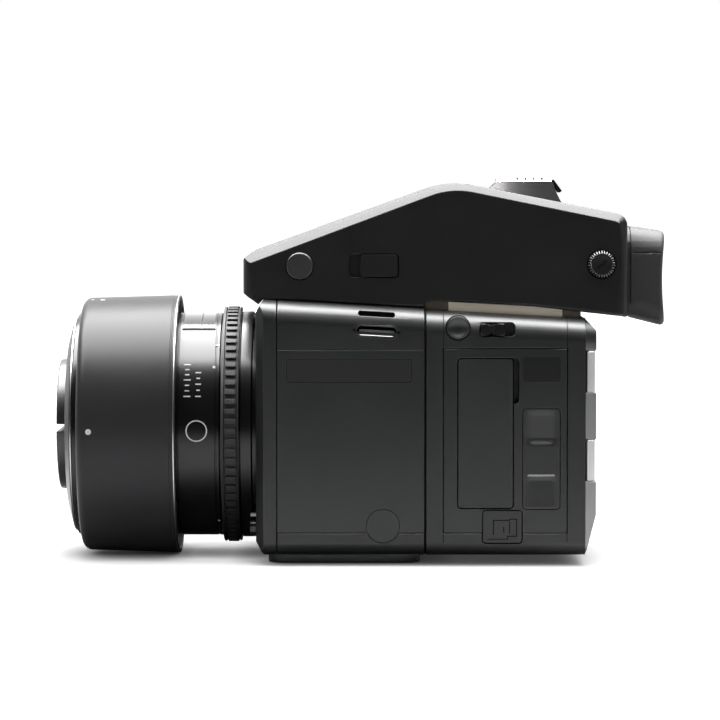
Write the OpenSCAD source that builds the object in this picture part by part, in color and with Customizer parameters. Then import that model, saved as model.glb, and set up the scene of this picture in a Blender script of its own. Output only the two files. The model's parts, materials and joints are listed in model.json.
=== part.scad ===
// Medium format digital camera with lens, hood, cap, prism finder and digital back.
// X runs towards the rear, Y towards the grip and Z up, from the mouth of the tripod socket.

/* [Body] */
// Width of the body covers
body_w = 92; // [88:1:100]
// Tripod socket to the front face
front_x = 30; // [28:0.5:34]
// Tripod socket to the rear face
rear_x = 27.3; // [26.5:0.1:30]
// Thickness of the front plate
plate_t = 7.1; // [6.5:0.1:8]
// Depth of the front chamfer along X
chamfer_x = 2.7; // [1:0.1:4]
// Width of the front chamfer along Y and Z
chamfer_w = 4.5; // [2:0.1:6]
// Height of the sloping top above the socket
top_z = 89.1; // [88:0.1:92]
// Slope of the top, degrees down to the rear
top_tilt = 3.2; // [2:0.1:4]
// Radius of the shoulders
shoulder_r = 8; // [5:0.1:8.2]
// Radius of the lower edges
sole_r = 4.5; // [3:0.1:5]
// Thickness of the side covers
cover_t = 2.1; // [1.8:0.1:3]
// Thickness of the bottom cover's floor
floor_t = 1.7; // [1.2:0.1:3]
// Thickness of the top cover's roof
roof_t = 5.1; // [4.6:0.1:6]
// Height of the lower seam
seam_low = 11.2; // [10.5:0.1:12]
// Height of the upper seam
seam_high = 73.5; // [72:0.1:75]
// Gap of an open seam
seam = 0.3; // [0.2:0.05:0.5]

/* [Side details] */
// Length and height of the bare name field
field_size = [42, 7.5];
// Middle of the name field, X and Z
field_at = [1.8, 66.45];
// Depth of the name field
field_d = 0.4; // [0.2:0.1:1]
// Radius of the round side plug
plug_r = 5.75; // [4:0.1:7]
// Place of the side plug, X and Z
plug_at = [13.3, 13.65];
// Length and height of the upper strap slot
slot_high = [12.5, 1.7];
// Middle of the upper strap slot, X and Z
slot_high_at = [11.1, 85.6];
// Length and height of the lower strap slot
slot_low = [13.9, 3.7];
// Middle of the lower strap slot, X and Z
slot_low_at = [11.1, 79.85];
// Depth of the strap channel behind the slots
strap_d = 4; // [3:0.1:5]
// Height of the bar in the lower strap slot
strap_bar_h = 1.2; // [0.8:0.1:1.6]

/* [Base] */
// Thickness of the tripod plate
base_t = 3.5; // [3:0.1:5]
// Length and width of the tripod plate
base_size = [52, 72];
// Radius of the large socket, tapping size of 3/8 inch
socket_r = 3.97; // [3.9:0.01:4.1]
// Radius of the small socket, tapping size of 1/4 inch
small_socket_r = 2.55; // [2.5:0.01:2.7]
// Depth of the sockets
socket_d = 10; // [8:0.5:12]
// Small socket in front of the large one
small_socket_x = -17; // [-18:0.5:-14]
// Wall round a socket
socket_wall = 3; // [2.5:0.1:4]

/* [Mirror and shutter] */
// Height of the lens axis
axis_z = 45.5; // [45.5:0.1:47]
// Half width of the mirror chamber
chamber_y = 32; // [31:0.1:33]
// Mirror chamber below the lens axis
chamber_down = 31; // [30:0.1:32]
// Mirror chamber above the lens axis
chamber_up = 32.5; // [32:0.1:33]
// Mirror hinge in front of the shutter
hinge_back = 2.6; // [2.4:0.1:3]
// Mirror hinge above the lens axis
hinge_up = 23; // [22:0.1:24]
// Radius of the mirror's hinge pin
hinge_r = 1.2; // [1:0.1:1.5]
// Width of the mirror carrier
mirror_w = 60; // [56:1:61]
// Thickness of the mirror carrier
carrier_t = 2; // [1.5:0.1:2.5]
// Thickness of the mirror glass
mirror_t = 1.8; // [1:0.1:2]
// Width and height of the picture gate
gate = [56, 41];
// Thickness of one shutter blade
blade_t = 0.6; // [0.4:0.1:0.7]
// Overlap of neighbouring shutter blades
blade_lap = 1; // [0.5:0.1:2]
// Thickness of the focusing screen
screen_t = 1.8; // [1:0.1:2]

/* [Lens] */
// Height of the mount ring above the front face
mount_h = 1.5; // [1.2:0.1:2]
// Outer radius of the mount ring
mount_r = 38; // [37.5:0.1:38.5]
// Bore of the mount ring
mount_bore_r = 31.5; // [31:0.1:32]
// Mount face to the front of the filter ring
lens_l = 61.5; // [58:0.5:66]
// Radius of the barrel
barrel_r = 39; // [38.6:0.1:39.5]
// Bore of the barrel
barrel_bore_r = 33.5; // [33:0.1:34]
// Radius of the sleeve under the focus ring
sleeve_r = 35.6; // [35:0.1:36]
// Bore of the filter thread
filter_r = 36; // [35.6:0.1:36.5]
// Length of the filter ring
filter_l = 3; // [2.5:0.1:4]
// Radius of the lens's rear ring
rear_ring_r = 39.6; // [39:0.1:40]
// Length of the lens's rear ring
rear_ring_l = 4; // [3.5:0.1:5]
// Length of the focus ring
focus_l = 6.5; // [6:0.1:9]
// Radius of the focus ring over its ribs
focus_r = 41.4; // [41:0.1:42]
// Height of the focus ring's ribs
rib_h = 0.7; // [0.4:0.1:0.9]
// Thickness of the rubber under the ribs
rubber_t = 0.7; // [0.5:0.1:1]
// Number of ribs round the focus ring
ribs = 76; // [48:4:80]
// Radius of the lens glasses
glass_r = 27; // [24:0.5:27.5]
// Length of the front cell
cell_l = 24; // [20:0.5:26]
// Focus travel of the front cell
focus_travel = 5; // [3:0.5:5]

/* [Hood and cap] */
// Radius of the hood at its open rim
hood_r = 45.2; // [44.8:0.1:45.3]
// Radius of the hood at its front
hood_front_r = 44.2; // [43.8:0.1:44.6]
// Length of the hood
hood_l = 34; // [28:0.5:38]
// Wall of the hood
hood_t = 1.8; // [1.5:0.1:2.4]
// Rounding of the hood's front edge
hood_nose = 3; // [1:0.1:4]
// Length of the hood's bayonet flange
hood_flange = 4.5; // [4:0.1:6]
// Hood behind the front of the filter ring
hood_setback = 1.5; // [1:0.1:3]
// Radius of the cap
cap_r = 37.5; // [37:0.1:38.5]
// Thickness of the cap's disc
cap_t = 2.9; // [2.4:0.1:4]
// Length of the cap's plug in the filter thread
cap_plug = 2; // [1.5:0.1:2.2]
// Radius of the two cap tabs
tab_r = 23; // [20:0.5:26]
// Thickness of the cap tabs
tab_t = 3.1; // [2:0.1:4]
// Slot between the cap tabs
tab_gap = 2.4; // [2.2:0.1:4]

/* [Lens release] */
// Width and height of the lens release button
release_size = [7, 5.4];
// Middle of the lens release button, Y and Z
release_at = [-29, 11.5];
// Lens release button above the front face
release_h = 2.4; // [1:0.1:2.6]
// Depth of the lens release button's pocket
release_d = 3.5; // [3:0.1:4.5]
// Travel of the lens release button
release_travel = 1; // [0.5:0.1:1]

/* [Grip] */
// Lens axis to the outer face of the grip
grip_y = 98; // [96:0.5:104]
// Width of the handle
handle_w = 36; // [34:0.5:38]
// Handle's front from the tripod socket
handle_front = 44; // [42:0.5:50]
// Handle's rear from the tripod socket
handle_rear = 10; // [9:0.5:14]
// Radius of the handle's upright edges
handle_r = 12; // [10.5:0.5:12.5]
// Grip's top below the body's top
grip_drop = 9.1; // [8:0.1:11]
// Wall of the grip
grip_t = 2.4; // [2:0.1:3]
// Thickness of the grip's rubber skin
skin_t = 1.2; // [0.8:0.1:2]
// Height of the battery chamber in the grip
grip_bay = 50; // [46:0.5:51]
// Thickness of the grip's battery door
grip_door_t = 2.5; // [2:0.1:3]
// Radius of the control dials
dial_r = 7; // [6.5:0.1:7.5]
// Width of the control dials
dial_w = 10; // [8:0.5:11]
// Dials standing out of the grip
dial_out = 2; // [1.5:0.1:3]
// Front dial below the grip's top
front_dial_drop = 16; // [15.5:0.5:17]
// Rear dial below the grip's top
rear_dial_drop = 10; // [9.5:0.5:13]
// Radius of the shutter button
button_r = 5.5; // [4.5:0.1:6]
// Shutter button above the grip's top
button_h = 2.4; // [2.1:0.1:3]
// Travel of the shutter button
button_travel = 1; // [0.6:0.1:1.2]
// Shutter button behind the handle's front
button_back = 11; // [10.5:0.5:12]
// Outer radius of the power collar
collar_r = 9; // [8.5:0.1:9.5]
// Thickness of the power collar
collar_t = 1.6; // [1.2:0.1:1.7]
// Length and width of the top display
display_size = [22, 28];
// Thickness of the top display's glass
display_t = 0.8; // [0.6:0.1:1.2]

/* [Finder] */
// Width of the finder at its base
finder_w = 80; // [76:0.5:84]
// Lean of the finder's sides, degrees
finder_lean = 2.1; // [1:0.1:3]
// Finder's nose from the tripod socket
finder_nose = 34.4; // [33:0.1:37]
// Finder's rear from the tripod socket
finder_rear = 96.7; // [95:0.1:99]
// Radius of the finder's upright edges
finder_r = 5; // [3:0.1:6]
// Rise of the front roof, degrees
roof_rise = 19.8; // [19:0.1:20.5]
// Fall of the rear roof, degrees
roof_fall = 11.1; // [10:0.1:12]
// Sharp peak of the roof, X and height over the body's top
peak_at = [36.4, 41.7];
// Length over which the peak is rounded, each way
crest = 8; // [4:0.5:10]
// Half width of the roof between its chamfers
roof_half = 36.2; // [35:0.1:37]
// Height of the finder's floor over the back
finder_gap = 3; // [2.5:0.1:4]
// Height of the nose's lower edge over the body top
nose_rise = 1.4; // [0.5:0.1:2]
// Nose's lower lip behind the front face, over the chamfer
lip_x = 0.9; // [0.5:0.1:1.4]
// Wall of the finder
finder_t = 5; // [4:0.1:6]
// Solid rear block that holds the eyepiece
eye_block = 14.5; // [13.5:0.1:16]
// Eyepiece axis above the body's top
eye_up = 11.9; // [11:0.1:13]
// Radius of the eyepiece lens
eye_r = 10; // [9:0.1:11]
// Length of the eyepiece lens
eye_l = 6; // [5:0.1:7]
// Travel of the eyepiece lens each way
eye_travel = 1.5; // [1:0.1:2]
// Radius of the round side cap
side_cap_r = 4.63; // [4:0.1:5.5]
// Place of the round side cap, X and height over the body's top
side_cap_place = [-15.1, 12.7];
// Length and height of the finder's latch slide
latch_size = [12.7, 7.5];
// Middle of the latch slide, X and height over the body's top
latch_place = [11.95, 12.85];
// Travel of the latch slide
latch_travel = 3.6; // [2:0.1:4]
// Depth of shallow pockets in the finder's side
side_pocket = 1.6; // [1.2:0.1:2.5]
// Radius of the diopter knob
knob_r = 4.66; // [4:0.1:5.2]
// Place of the diopter knob, X and height over the body's top
knob_place = [87.7, 13.3];
// Diopter knob standing out of the side
knob_out = 1.6; // [1:0.1:2.5]
// Number of teeth on the diopter knob
knob_teeth = 30; // [24:2:36]
// Radius of the diopter knob's shaft
shaft_r = 1.5; // [1.2:0.1:2]

/* [Eyecup and shoe] */
// Depth of the eyecup
cup_d = 13.9; // [12:0.1:16]
// Width of the eyecup
cup_w = 56; // [52:0.5:60]
// Lowest and highest edge of the eyecup over the body's top
cup_span = [-8.5, 26.1];
// Width and height of the eyecup's window
cup_window = [40, 22];
// Radius of the eyecup's corners
cup_r = 7; // [5:0.5:9]
// Front of the accessory shoe
shoe_x = 53; // [52:0.5:56]
// Length of the accessory shoe
shoe_l = 18.8; // [18:0.1:20]
// Accessory shoe's top above the roof's peak
shoe_rise = 0.9; // [0.7:0.1:1.6]
// Width inside the shoe's channel
shoe_channel = 18.8; // [18.6:0.1:19]
// Height of the shoe's channel
channel_h = 2.1; // [2:0.05:2.3]
// Width between the shoe's lips
shoe_mouth = 12.8; // [12.5:0.1:13]
// Thickness of the shoe's walls and lips
shoe_t = 1.3; // [1:0.1:1.5]

/* [Digital back] */
// Gap between the body and the back
back_gap = 0.7; // [0.3:0.05:0.9]
// Length of the back's housing
back_l = 54; // [53:0.1:58]
// Back's top below the body's top
back_drop = 0.5; // [0.2:0.1:1]
// Depth of the bezel
bezel_t = 3.6; // [3.2:0.1:4.5]
// Upper bevel of the bezel
bezel_high = 4; // [2:0.1:6]
// Lower bevel of the bezel
bezel_low = 14; // [8:0.5:16]
// Width of the back's front column
column_front = 5.8; // [5:0.1:7]
// Width of the back's rear column
column_rear = 6.2; // [5:0.1:7]
// Height of the back's upper seam
back_seam_high = 74; // [72:0.1:75]
// Length and height of the battery's face
pack_size = [18.6, 50.7];
// Lower front corner of the battery's face, X and Z
pack_at = [38.8, 19.8];
// Width and height of the finger notch beside the battery
pack_notch = [2, 15.5];
// Depth of the finger notch
notch_d = 5; // [3:0.5:8]
// Length of the battery along Y
pack_d = 38; // [30:0.5:40]
// Width and height of the card door
card_size = [12.3, 34];
// Lower front corner of the card door, X and Z
card_at = [60.9, 19.6];
// Depth of the card bay
card_bay = 8; // [5:0.5:12]
// Height of the finger dimples in the card door
dimple_h = 12; // [8:0.5:14]
// Depth of the finger dimples
dimple_d = 0.8; // [0.4:0.1:1]
// Thickness of the doors in the back
door_t = 1.7; // [1.4:0.1:1.8]
// Length and height of the port flap
flap_size = [13.2, 11];
// Lower front corner of the port flap, X and Z
flap_at = [47.2, 7.9];
// Length and height of the bare plate
plate_size = [12.2, 7.95];
// Lower front corner of the bare plate, X and Z
plate_at = [61, 62.9];
// Radius of the round lock button
lock_r = 3.9; // [3:0.1:4.5]
// Place of the lock button, X and Z
lock_at = [38.7, 81];
// Travel of the lock button
lock_travel = 1; // [0.5:0.1:1.2]
// Length and height of the release slide
slide_size = [8.3, 4.2];
// Middle of the release slide, X and Z
slide_at = [50.5, 80.4];
// Travel of the release slide
slide_travel = 3.2; // [2:0.1:4]
// Height of a rear key
key_h = 13.8; // [10:0.1:16]
// Gap between the screen and the rear keys
key_gap = 3; // [2:0.1:4]
// Middles of the lower and the upper rear keys
key_z = [36, 66.2];
// Rear keys standing out of the bezel
key_out = 0.5; // [0.3:0.1:1]
// Travel of the rear keys
key_travel = 0.5; // [0.3:0.1:0.6]
// Width and height of the rear screen
screen_size = [72, 54];
// Thickness of the rear screen's glass
screen_glass_t = 0.8; // [0.6:0.1:1.2]
// Thickness of the sensor
sensor_t = 2.5; // [2:0.1:3]
// Thickness of the sensor board
board_t = 2; // [1.4:0.1:2.5]

/* [Fits] */
// Gap between pieces that are fixed together
fit = 0.1; // [0.05:0.01:0.15]
// Running gap round pieces that move
run = 0.3; // [0.25:0.01:0.35]

/* [Hidden] */
$fn = 96;
reach = 240;
half_w = body_w / 2;

// Places along X, from the rear of the front plate to the cap
plate_rear = plate_t - front_x;
flange_x = -front_x - mount_h;
lens_front = flange_x - lens_l;
ring_front = flange_x - rear_ring_l;
focus_rear = ring_front - run;
focus_front = focus_rear - focus_l;
barrel_rear = focus_front - run;
hood_front = lens_front + hood_setback;
hood_rear = hood_front + hood_l;
cap_rear = lens_front - run;
cap_front = cap_rear - cap_t;
bevel_cap = 7.5;
spigot_l = 6.5;
spigot_t = 3.2;
spigot_r = mount_bore_r - run;
web_t = 2;
rear_bulge = 2;
front_bulge = 3;
glass_step = 2;
filter_taper = 0.3;
rubber_inset = 0.2;
cap_edge = 0.6;
cell_gap = 1;
cell_front = lens_front + filter_l + focus_travel + cell_gap;

// Chassis inside the covers
chassis_y = half_w - cover_t - fit;
chassis_low = base_t + floor_t + fit;
chassis_high = top_z - roof_t;
chassis_rear = rear_x - seam;
chamber_low = axis_z - chamber_down;
chamber_high = axis_z + chamber_up;
mount_sink = 3;
mount_room = 1;

// Shutter and mirror
gate_low = axis_z - gate[1] / 2;
gate_high = axis_z + gate[1] / 2;
gate_wall = 1.2;
blade_gap = run + fit;
shutter_wall = 0.9;
shutter_l = 2 * shutter_wall + 3 * blade_t + 4 * blade_gap;
shutter_rear = chassis_rear - gate_wall;
shutter_front = shutter_rear - shutter_l;
blade_h = (gate[1] + 4 * blade_lap) / 3;
blade_drop = blade_h - blade_lap + 2 * run;
blade_end = 4;
blade_half = gate[0] / 2 + blade_end;
frame_y = blade_half + blade_gap;
frame_low = gate_low - blade_lap - blade_drop - blade_gap;
frame_high = gate_high + blade_lap + blade_gap;
hinge_x = shutter_front - hinge_back;
hinge_z = axis_z + hinge_up;
mirror_l = hinge_x - plate_rear - run - fit;
pin_l = 2;
well_in = 1;
well_edge = [3, 2];
well_y = mirror_w / 2 - well_in;
well_front = plate_rear + well_edge[0];
well_rear = hinge_x - well_edge[1];
ledge = 1.5;

// Fasteners, sockets and the strap bar
mount_head_r = 1.6;
mount_shank = [1, 3];
base_head = [2.2, 1.6];
base_shank = [1.25, 5.5];
base_sink = 0.4;
base_r = 6;
socket_floor = 2;
socket_top = socket_d + socket_floor;
release_r = 2;
strap_lap = 0.6;
bar_inset = 0.5;

// Grip
grip_top = top_z - grip_drop;
handle_mid = [(handle_rear - handle_front) / 2, grip_y - handle_w / 2];
root_lap = 8;
root_y = grip_y - handle_w + root_lap;
bay_size = [handle_rear + handle_front - 2 * grip_t, handle_w - 2 * grip_t];
bay_r = handle_r - grip_t;
bay_top = base_t + grip_bay;
door_top = base_t + grip_door_t;
button_at = [button_back - handle_front, handle_mid[1]];
button_root = 4.8;
button_low = grip_top - button_root;
front_dial_at = [dial_r - dial_out - handle_front, handle_mid[1], grip_top - front_dial_drop];
rear_dial_in = 2;
rear_dial_at = [handle_rear + dial_out - dial_r, handle_mid[1] - rear_dial_in, grip_top - rear_dial_drop];
axle_l = 1.5;
dial_teeth = 40;
tooth_h = 0.4;
skin_low = 5;
skin_high = 3;
display_r = 2;
lever_size = [3, 5];
lever_r = 1.2;
display_front = 17;
display_at = [display_size[0] / 2 - display_front, handle_mid[1]];

// Finder
back_top = top_z - back_drop;
peak = peak_at + [0, top_z];
eye_z = top_z + eye_up;
side_cap_at = side_cap_place + [0, top_z];
latch_at = latch_place + [0, top_z];
knob_at = knob_place + [0, top_z];
cup_z = [top_z + cup_span[0], top_z + cup_span[1]];
hollow_edge = [3, 2];
hollow_lean = 1;
hollow_front = hollow_edge[0] - front_x;
hollow_rear = rear_x - hollow_edge[1];
hollow_y = finder_w / 2 - finder_t - hollow_lean;
floor_h = 3;
eye_front = finder_rear - eye_block;
eye_inset = 2.5;
tail_drop = 4.7;
tail_z = top_z - tail_drop;
tail_x = 65;
tail_r = 4;
nose_cut = 2.3;
lip_gap = 1;
shaft_l = 8;
cap_out = 0.2;
latch_out = 0.6;
prism_gap = 2;
crest_front = [peak[0] - crest, roof_at(peak[0] - crest)];
crest_rear = [peak[0] + crest, roof_at(peak[0] + crest)];
tail_corner = [finder_rear, roof_at(finder_rear)];
tail_start = [finder_rear - tail_r, roof_at(finder_rear - tail_r)];
finder_roof = concat(
    [for (t = [0:0.25:1]) bend(tail_corner - [0, tail_r], tail_corner, tail_start, t)],
    [for (t = [0:0.125:1]) bend(crest_rear, peak, crest_front, t)],
    [[nose_cut - finder_nose, roof_at(nose_cut - finder_nose)]]
);
finder_outline = concat(
    [
        [-finder_nose, top_at(-finder_nose, top_z) + nose_rise],
        [lip_x - front_x, chamfer_at(lip_x - front_x) + lip_gap],
        [chamfer_x - front_x - run, top_at(chamfer_x - front_x - run, top_z)],
        [rear_x, top_at(rear_x, top_z)],
        [rear_x, top_at(rear_x, back_top) + finder_gap],
        [tail_x, top_at(tail_x, back_top) + finder_gap],
        [finder_rear, tail_z]
    ],
    finder_roof,
    [[-finder_nose, roof_at(-finder_nose) - nose_cut / 2]]
);
finder_hollow = [
    [hollow_front, top_at(hollow_front, top_z) - finder_t],
    [hollow_front, roof_at(hollow_front) - finder_t],
    crest_front - [0, finder_t],
    crest_rear - [0, finder_t],
    [eye_front, roof_at(eye_front) - finder_t],
    [eye_front, top_at(eye_front, back_top) + finder_gap + floor_h],
    [hollow_rear, top_at(hollow_rear, back_top) + finder_gap + floor_h],
    [hollow_rear, top_at(hollow_rear, top_z) - finder_t]
];
glass_front = hollow_front + prism_gap / 2;
glass_rear = hollow_rear - fit;
prism_outline = [
    [glass_front, top_at(glass_front, top_z)],
    [glass_front, roof_at(glass_front) - finder_t - prism_gap],
    crest_front - [0, finder_t + prism_gap],
    [peak[0] + prism_gap, crest_front[1] - finder_t - prism_gap],
    [peak[0] + crest, eye_z + 2 * prism_gap],
    [glass_rear, top_at(glass_rear, back_top) + finder_gap + floor_h + prism_gap / 2],
    [glass_rear, top_at(glass_rear, top_z)]
];
cup_face = finder_rear + cup_d;
cup_hollow = 1;
cup_low = 3.5;
cup_high = 1.7;

// Accessory shoe
shoe_top = peak[1] + shoe_rise;
shoe_floor = shoe_top - shoe_t - channel_h;
shoe_half = shoe_channel / 2 + shoe_t;
shoe_ramp = 2.4;
shoe_tail = 3.8;

// Digital back
back_front = rear_x + back_gap;
back_rear = back_front + back_l;
bezel_rear = back_rear + bezel_t;
panel_front = back_front + column_front;
panel_rear = back_rear - column_rear;
face_r = 1.2;
notch_root = 6;
bezel_key = key_travel + run;
key_w = half_w - screen_size[0] / 2 - key_gap;
slide_out = 0.4;
slide_d = 3;
lock_l = 5;
lock_out = 0.2;
port_d = 2;
plate_r = 0.5;
sensor_rim = 1;
pit_d = 7.1;
board_front = back_front + pit_d;
board_lap = 2;
board_low = chamber_low - board_lap;
board_high = chamber_high - board_lap;
screen_z = 49.5;
card_hinge = card_at[0] + card_size[0];
dimple_r = dimple_h * dimple_h / (8 * dimple_d) + dimple_d / 2;
back_wall = 4;
seal_in = 1.5;
seal_high = top_at(back_front, back_top) - seal_in;

// Height of a sloping top that stands at mid_z over the socket
function top_at(x, mid_z) = mid_z - tan(top_tilt) * x;
// Height of the front plate's upper chamfer
function chamfer_at(x) = top_at(chamfer_x - front_x, top_z) - chamfer_w * (1 - (x + front_x) / chamfer_x);
// Height of the finder's roof, without its rounded peak
function roof_at(x) = peak[1] + (x < peak[0] ? tan(roof_rise) : -tan(roof_fall)) * (x - peak[0]);
// Point on a curve from a to b that bends towards c
function bend(a, c, b, t) = (1 - t) * (1 - t) * a + 2 * t * (1 - t) * c + t * t * b;
// Half width of the finder at a height
function finder_half(z) = finder_w / 2 - (z - top_z) * tan(finder_lean);

// Basic shapes
module rounded(w, h, r) {
    square([w - 2 * r, h], center = true);
    square([w, h - 2 * r], center = true);
    for (sx = [-1, 1], sy = [-1, 1])
        translate([sx * (w / 2 - r), sy * (h / 2 - r)]) circle(r);
}
module along_x(x0, x1) translate([x0, 0, 0]) rotate([90, 0, 90]) linear_extrude(x1 - x0) children();
module along_y(y0, y1) translate([0, y1, 0]) rotate([90, 0, 0]) linear_extrude(y1 - y0) children();
module along_z(z0, z1) translate([0, 0, z0]) linear_extrude(z1 - z0) children();
module block(x0, x1, y0, y1, z0, z1) translate([x0, y0, z0]) cube([x1 - x0, y1 - y0, z1 - z0]);
module rod_x(r, x0, x1, y, z) translate([x0, y, z]) rotate([0, 90, 0]) cylinder(r = r, h = x1 - x0);
module rod_y(r, x, y0, y1, z) translate([x, y1, z]) rotate([90, 0, 0]) cylinder(r = r, h = y1 - y0);
module rod_z(r, x, y, z0, z1) translate([x, y, z0]) cylinder(r = r, h = z1 - z0);
// Turns a profile of [radius, x] points about the lens axis
module turned() translate([0, 0, axis_z]) rotate([0, 90, 0]) rotate_extrude() children();
// Toothed outline for ribs and knurls
module toothed(r, h, n) polygon([for (i = [0:n - 1], k = [[0, -1], [0.2, 0], [0.55, 0], [0.75, -1]])
    (r + h * k[1]) * [cos(360 * (i + k[0]) / n), sin(360 * (i + k[0]) / n)]]);

// Case shape shared by the body and the back
module under_top(mid_z) translate([0, 0, mid_z]) rotate([0, top_tilt, 0]) along_x(-reach, reach) {
    translate([shoulder_r - half_w, -reach]) square([body_w - 2 * shoulder_r, reach]);
    translate([-half_w, -reach]) square([body_w, reach - shoulder_r]);
    for (s = [-1, 1]) translate([s * (half_w - shoulder_r), -shoulder_r]) circle(shoulder_r);
}
module over_sole(x0, x1) along_x(x0, x1) {
    translate([sole_r - half_w, base_t]) square([body_w - 2 * sole_r, reach]);
    translate([-half_w, base_t + sole_r]) square([body_w, reach]);
    for (s = [-1, 1]) translate([s * (half_w - sole_r), base_t + sole_r]) circle(sole_r);
}
module case_solid(x0, x1, mid_z) intersection() {
    under_top(mid_z);
    over_sole(x0, x1);
}
module chassis_space(grow) block(plate_rear - reach, rear_x + reach, -chassis_y - grow, chassis_y + grow,
    chassis_low - grow, chassis_high + grow);

// Fasteners, drawn from the face of the head
module fastener(head, shank, grow) {
    cylinder(r = head[0] + grow, h = head[1] + grow);
    cylinder(r = shank[0] + grow, h = head[1] + shank[1] + grow);
}
module mount_fasteners(grow) translate([flange_x + fit, 0, axis_z]) for (a = [0:60:300])
    rotate([a + 30, 0, 0]) translate([0, (mount_r + mount_bore_r) / 2, 0]) rotate([0, 90, 0])
        fastener([mount_head_r, mount_h - 2 * fit], mount_shank, grow);
module base_fasteners(grow) for (sx = [-1, 1], sy = [-1, 1])
    translate([sx * (base_size[0] / 2 - base_r), sy * (base_size[1] / 2 - base_r), base_sink])
        fastener(base_head, base_shank, grow);
module strap_channel() {
    x0 = slot_low_at[0] - slot_low[0] / 2;
    x1 = slot_low_at[0] + slot_low[0] / 2;
    block(x0, x1, fit - half_w + cover_t - strap_lap, strap_d - chassis_y, slot_low_at[1] - slot_low[1] / 2,
        chassis_high);
    block(x0, x1, strap_d - half_w - strap_lap, strap_d - chassis_y, chassis_high - strap_lap,
        slot_high_at[1] + slot_high[1] / 2);
}

// Camera body
module front_plate() color("#26282b") difference() {
    intersection() {
        case_solid(-front_x, plate_rear, top_z);
        along_z(0, reach) polygon([
            [plate_rear, -half_w], [chamfer_x - front_x, -half_w], [-front_x, chamfer_w - half_w],
            [-front_x, half_w - chamfer_w], [chamfer_x - front_x, half_w], [plate_rear, half_w]
        ]);
        along_y(-reach, reach) polygon([
            [plate_rear, base_t], [chamfer_x - front_x, base_t], [-front_x, base_t + chamfer_w],
            [-front_x, top_at(-front_x, top_z) - chamfer_w],
            [chamfer_x - front_x, top_at(chamfer_x - front_x, top_z)], [plate_rear, top_z + chamfer_w]
        ]);
    }
    rod_x(mount_bore_r + mount_room, -front_x - 1, plate_rear + 1, 0, axis_z);
    release_space(run, -front_x - 1, release_d - front_x);
    mount_fasteners(fit);
}
module release_space(grow, x0, x1) along_x(x0, x1) translate(release_at)
    rounded(release_size[0] + 2 * grow, release_size[1] + 2 * grow, release_r + grow);
module mirror_box() color("#202124") difference() {
    block(plate_rear, chassis_rear, -chassis_y, chassis_y, chassis_low, chassis_high);
    block(plate_rear - 1, shutter_front, -chamber_y, chamber_y, chamber_low, chamber_high);
    block(well_front, well_rear, -well_y, well_y, chamber_high - 1, chassis_high + 1);
    block(well_front - ledge, well_rear + ledge, -well_y - ledge, well_y + ledge, chassis_high - screen_t,
        chassis_high + 1);
    shutter_space(fit);
    block(shutter_rear - 1, chassis_rear + 1, -gate[0] / 2, gate[0] / 2, gate_low, gate_high);
    rod_y(hinge_r + run / 2, hinge_x, -chamber_y - pin_l, chamber_y + pin_l, hinge_z);
    socket_bosses(fit);
    base_fasteners(fit);
    strap_channel();
    rod_x(mount_bore_r + mount_room, plate_rear - 1, plate_rear + mount_sink, 0, axis_z);
}
module shutter_space(grow) block(shutter_front - grow, shutter_rear, -frame_y - shutter_wall - grow,
    frame_y + shutter_wall + grow, frame_low - shutter_wall - grow, frame_high + shutter_wall + grow);
module left_cover() color("#26292b") difference() {
    block(plate_rear + seam, rear_x, -half_w, -chassis_y - fit, seam_low + seam / 2, seam_high - seam / 2);
    along_y(-half_w - 1, field_d - half_w) translate(field_at) square(field_size, center = true);
    rod_y(plug_r, plug_at[0], -half_w - 1, -chassis_y, plug_at[1]);
}
module side_plug() color("#2a2d2f") rod_y(plug_r - fit, plug_at[0], -half_w, -chassis_y - fit, plug_at[1]);
module top_cover() color("#26282b") {
    difference() {
        intersection() {
            case_solid(plate_rear + seam, rear_x, top_z);
            block(-reach, reach, -reach, reach, seam_high + seam / 2, reach);
        }
        chassis_space(fit);
        block(well_front - ledge, well_rear + ledge, -well_y - ledge, well_y + ledge, chassis_high, reach);
        strap_slot(slot_high_at, slot_high, top_tilt);
        strap_slot(slot_low_at, slot_low, 0);
        strap_channel();
        block(-reach, reach, chassis_y, reach, 0, grip_top + fit);
    }
    block(slot_low_at[0] - slot_low[0] / 2 - fit, slot_low_at[0] + slot_low[0] / 2 + fit, bar_inset - half_w,
        bar_inset - half_w + strap_bar_h, slot_low_at[1] - strap_bar_h, slot_low_at[1]);
}
module strap_slot(at, size, tilt) translate([at[0], -half_w, at[1]]) rotate([0, tilt, 0])
    along_y(-strap_d, strap_d) rounded(size[0], size[1], size[1] / 2 - 0.05);
module bottom_cover() color("#26282b") difference() {
    intersection() {
        case_solid(plate_rear + seam, rear_x, top_z);
        block(-reach, reach, -reach, reach, 0, seam_low - seam / 2);
    }
    chassis_space(fit);
    rod_y(plug_r, plug_at[0], -half_w - 1, -chassis_y, plug_at[1]);
    socket_bosses(fit);
    base_fasteners(fit);
}
module socket_bosses(grow) {
    rod_z(socket_r + socket_wall + grow, 0, 0, base_t - 1, socket_top + grow);
    rod_z(small_socket_r + socket_wall + grow, small_socket_x, 0, base_t - 1, socket_top + grow);
}
module tripod_plate() color("#3a3b3c") difference() {
    union() {
        along_z(0, base_t) rounded(base_size[0], base_size[1], base_r);
        socket_bosses(0);
    }
    rod_z(socket_r, 0, 0, -1, socket_d);
    rod_z(small_socket_r, small_socket_x, 0, -1, socket_d);
    base_fasteners(fit);
}
module screws() color("silver") {
    mount_fasteners(0);
    base_fasteners(0);
}
module mount_ring() color("silver") difference() {
    turned() polygon([
        [mount_bore_r, flange_x], [mount_r, flange_x], [mount_r, -front_x], [mount_bore_r, -front_x]
    ]);
    mount_fasteners(fit);
}
module lens_release() color("silver")
    release_space(0, -front_x - release_h, release_d - front_x - release_travel - run);
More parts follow.
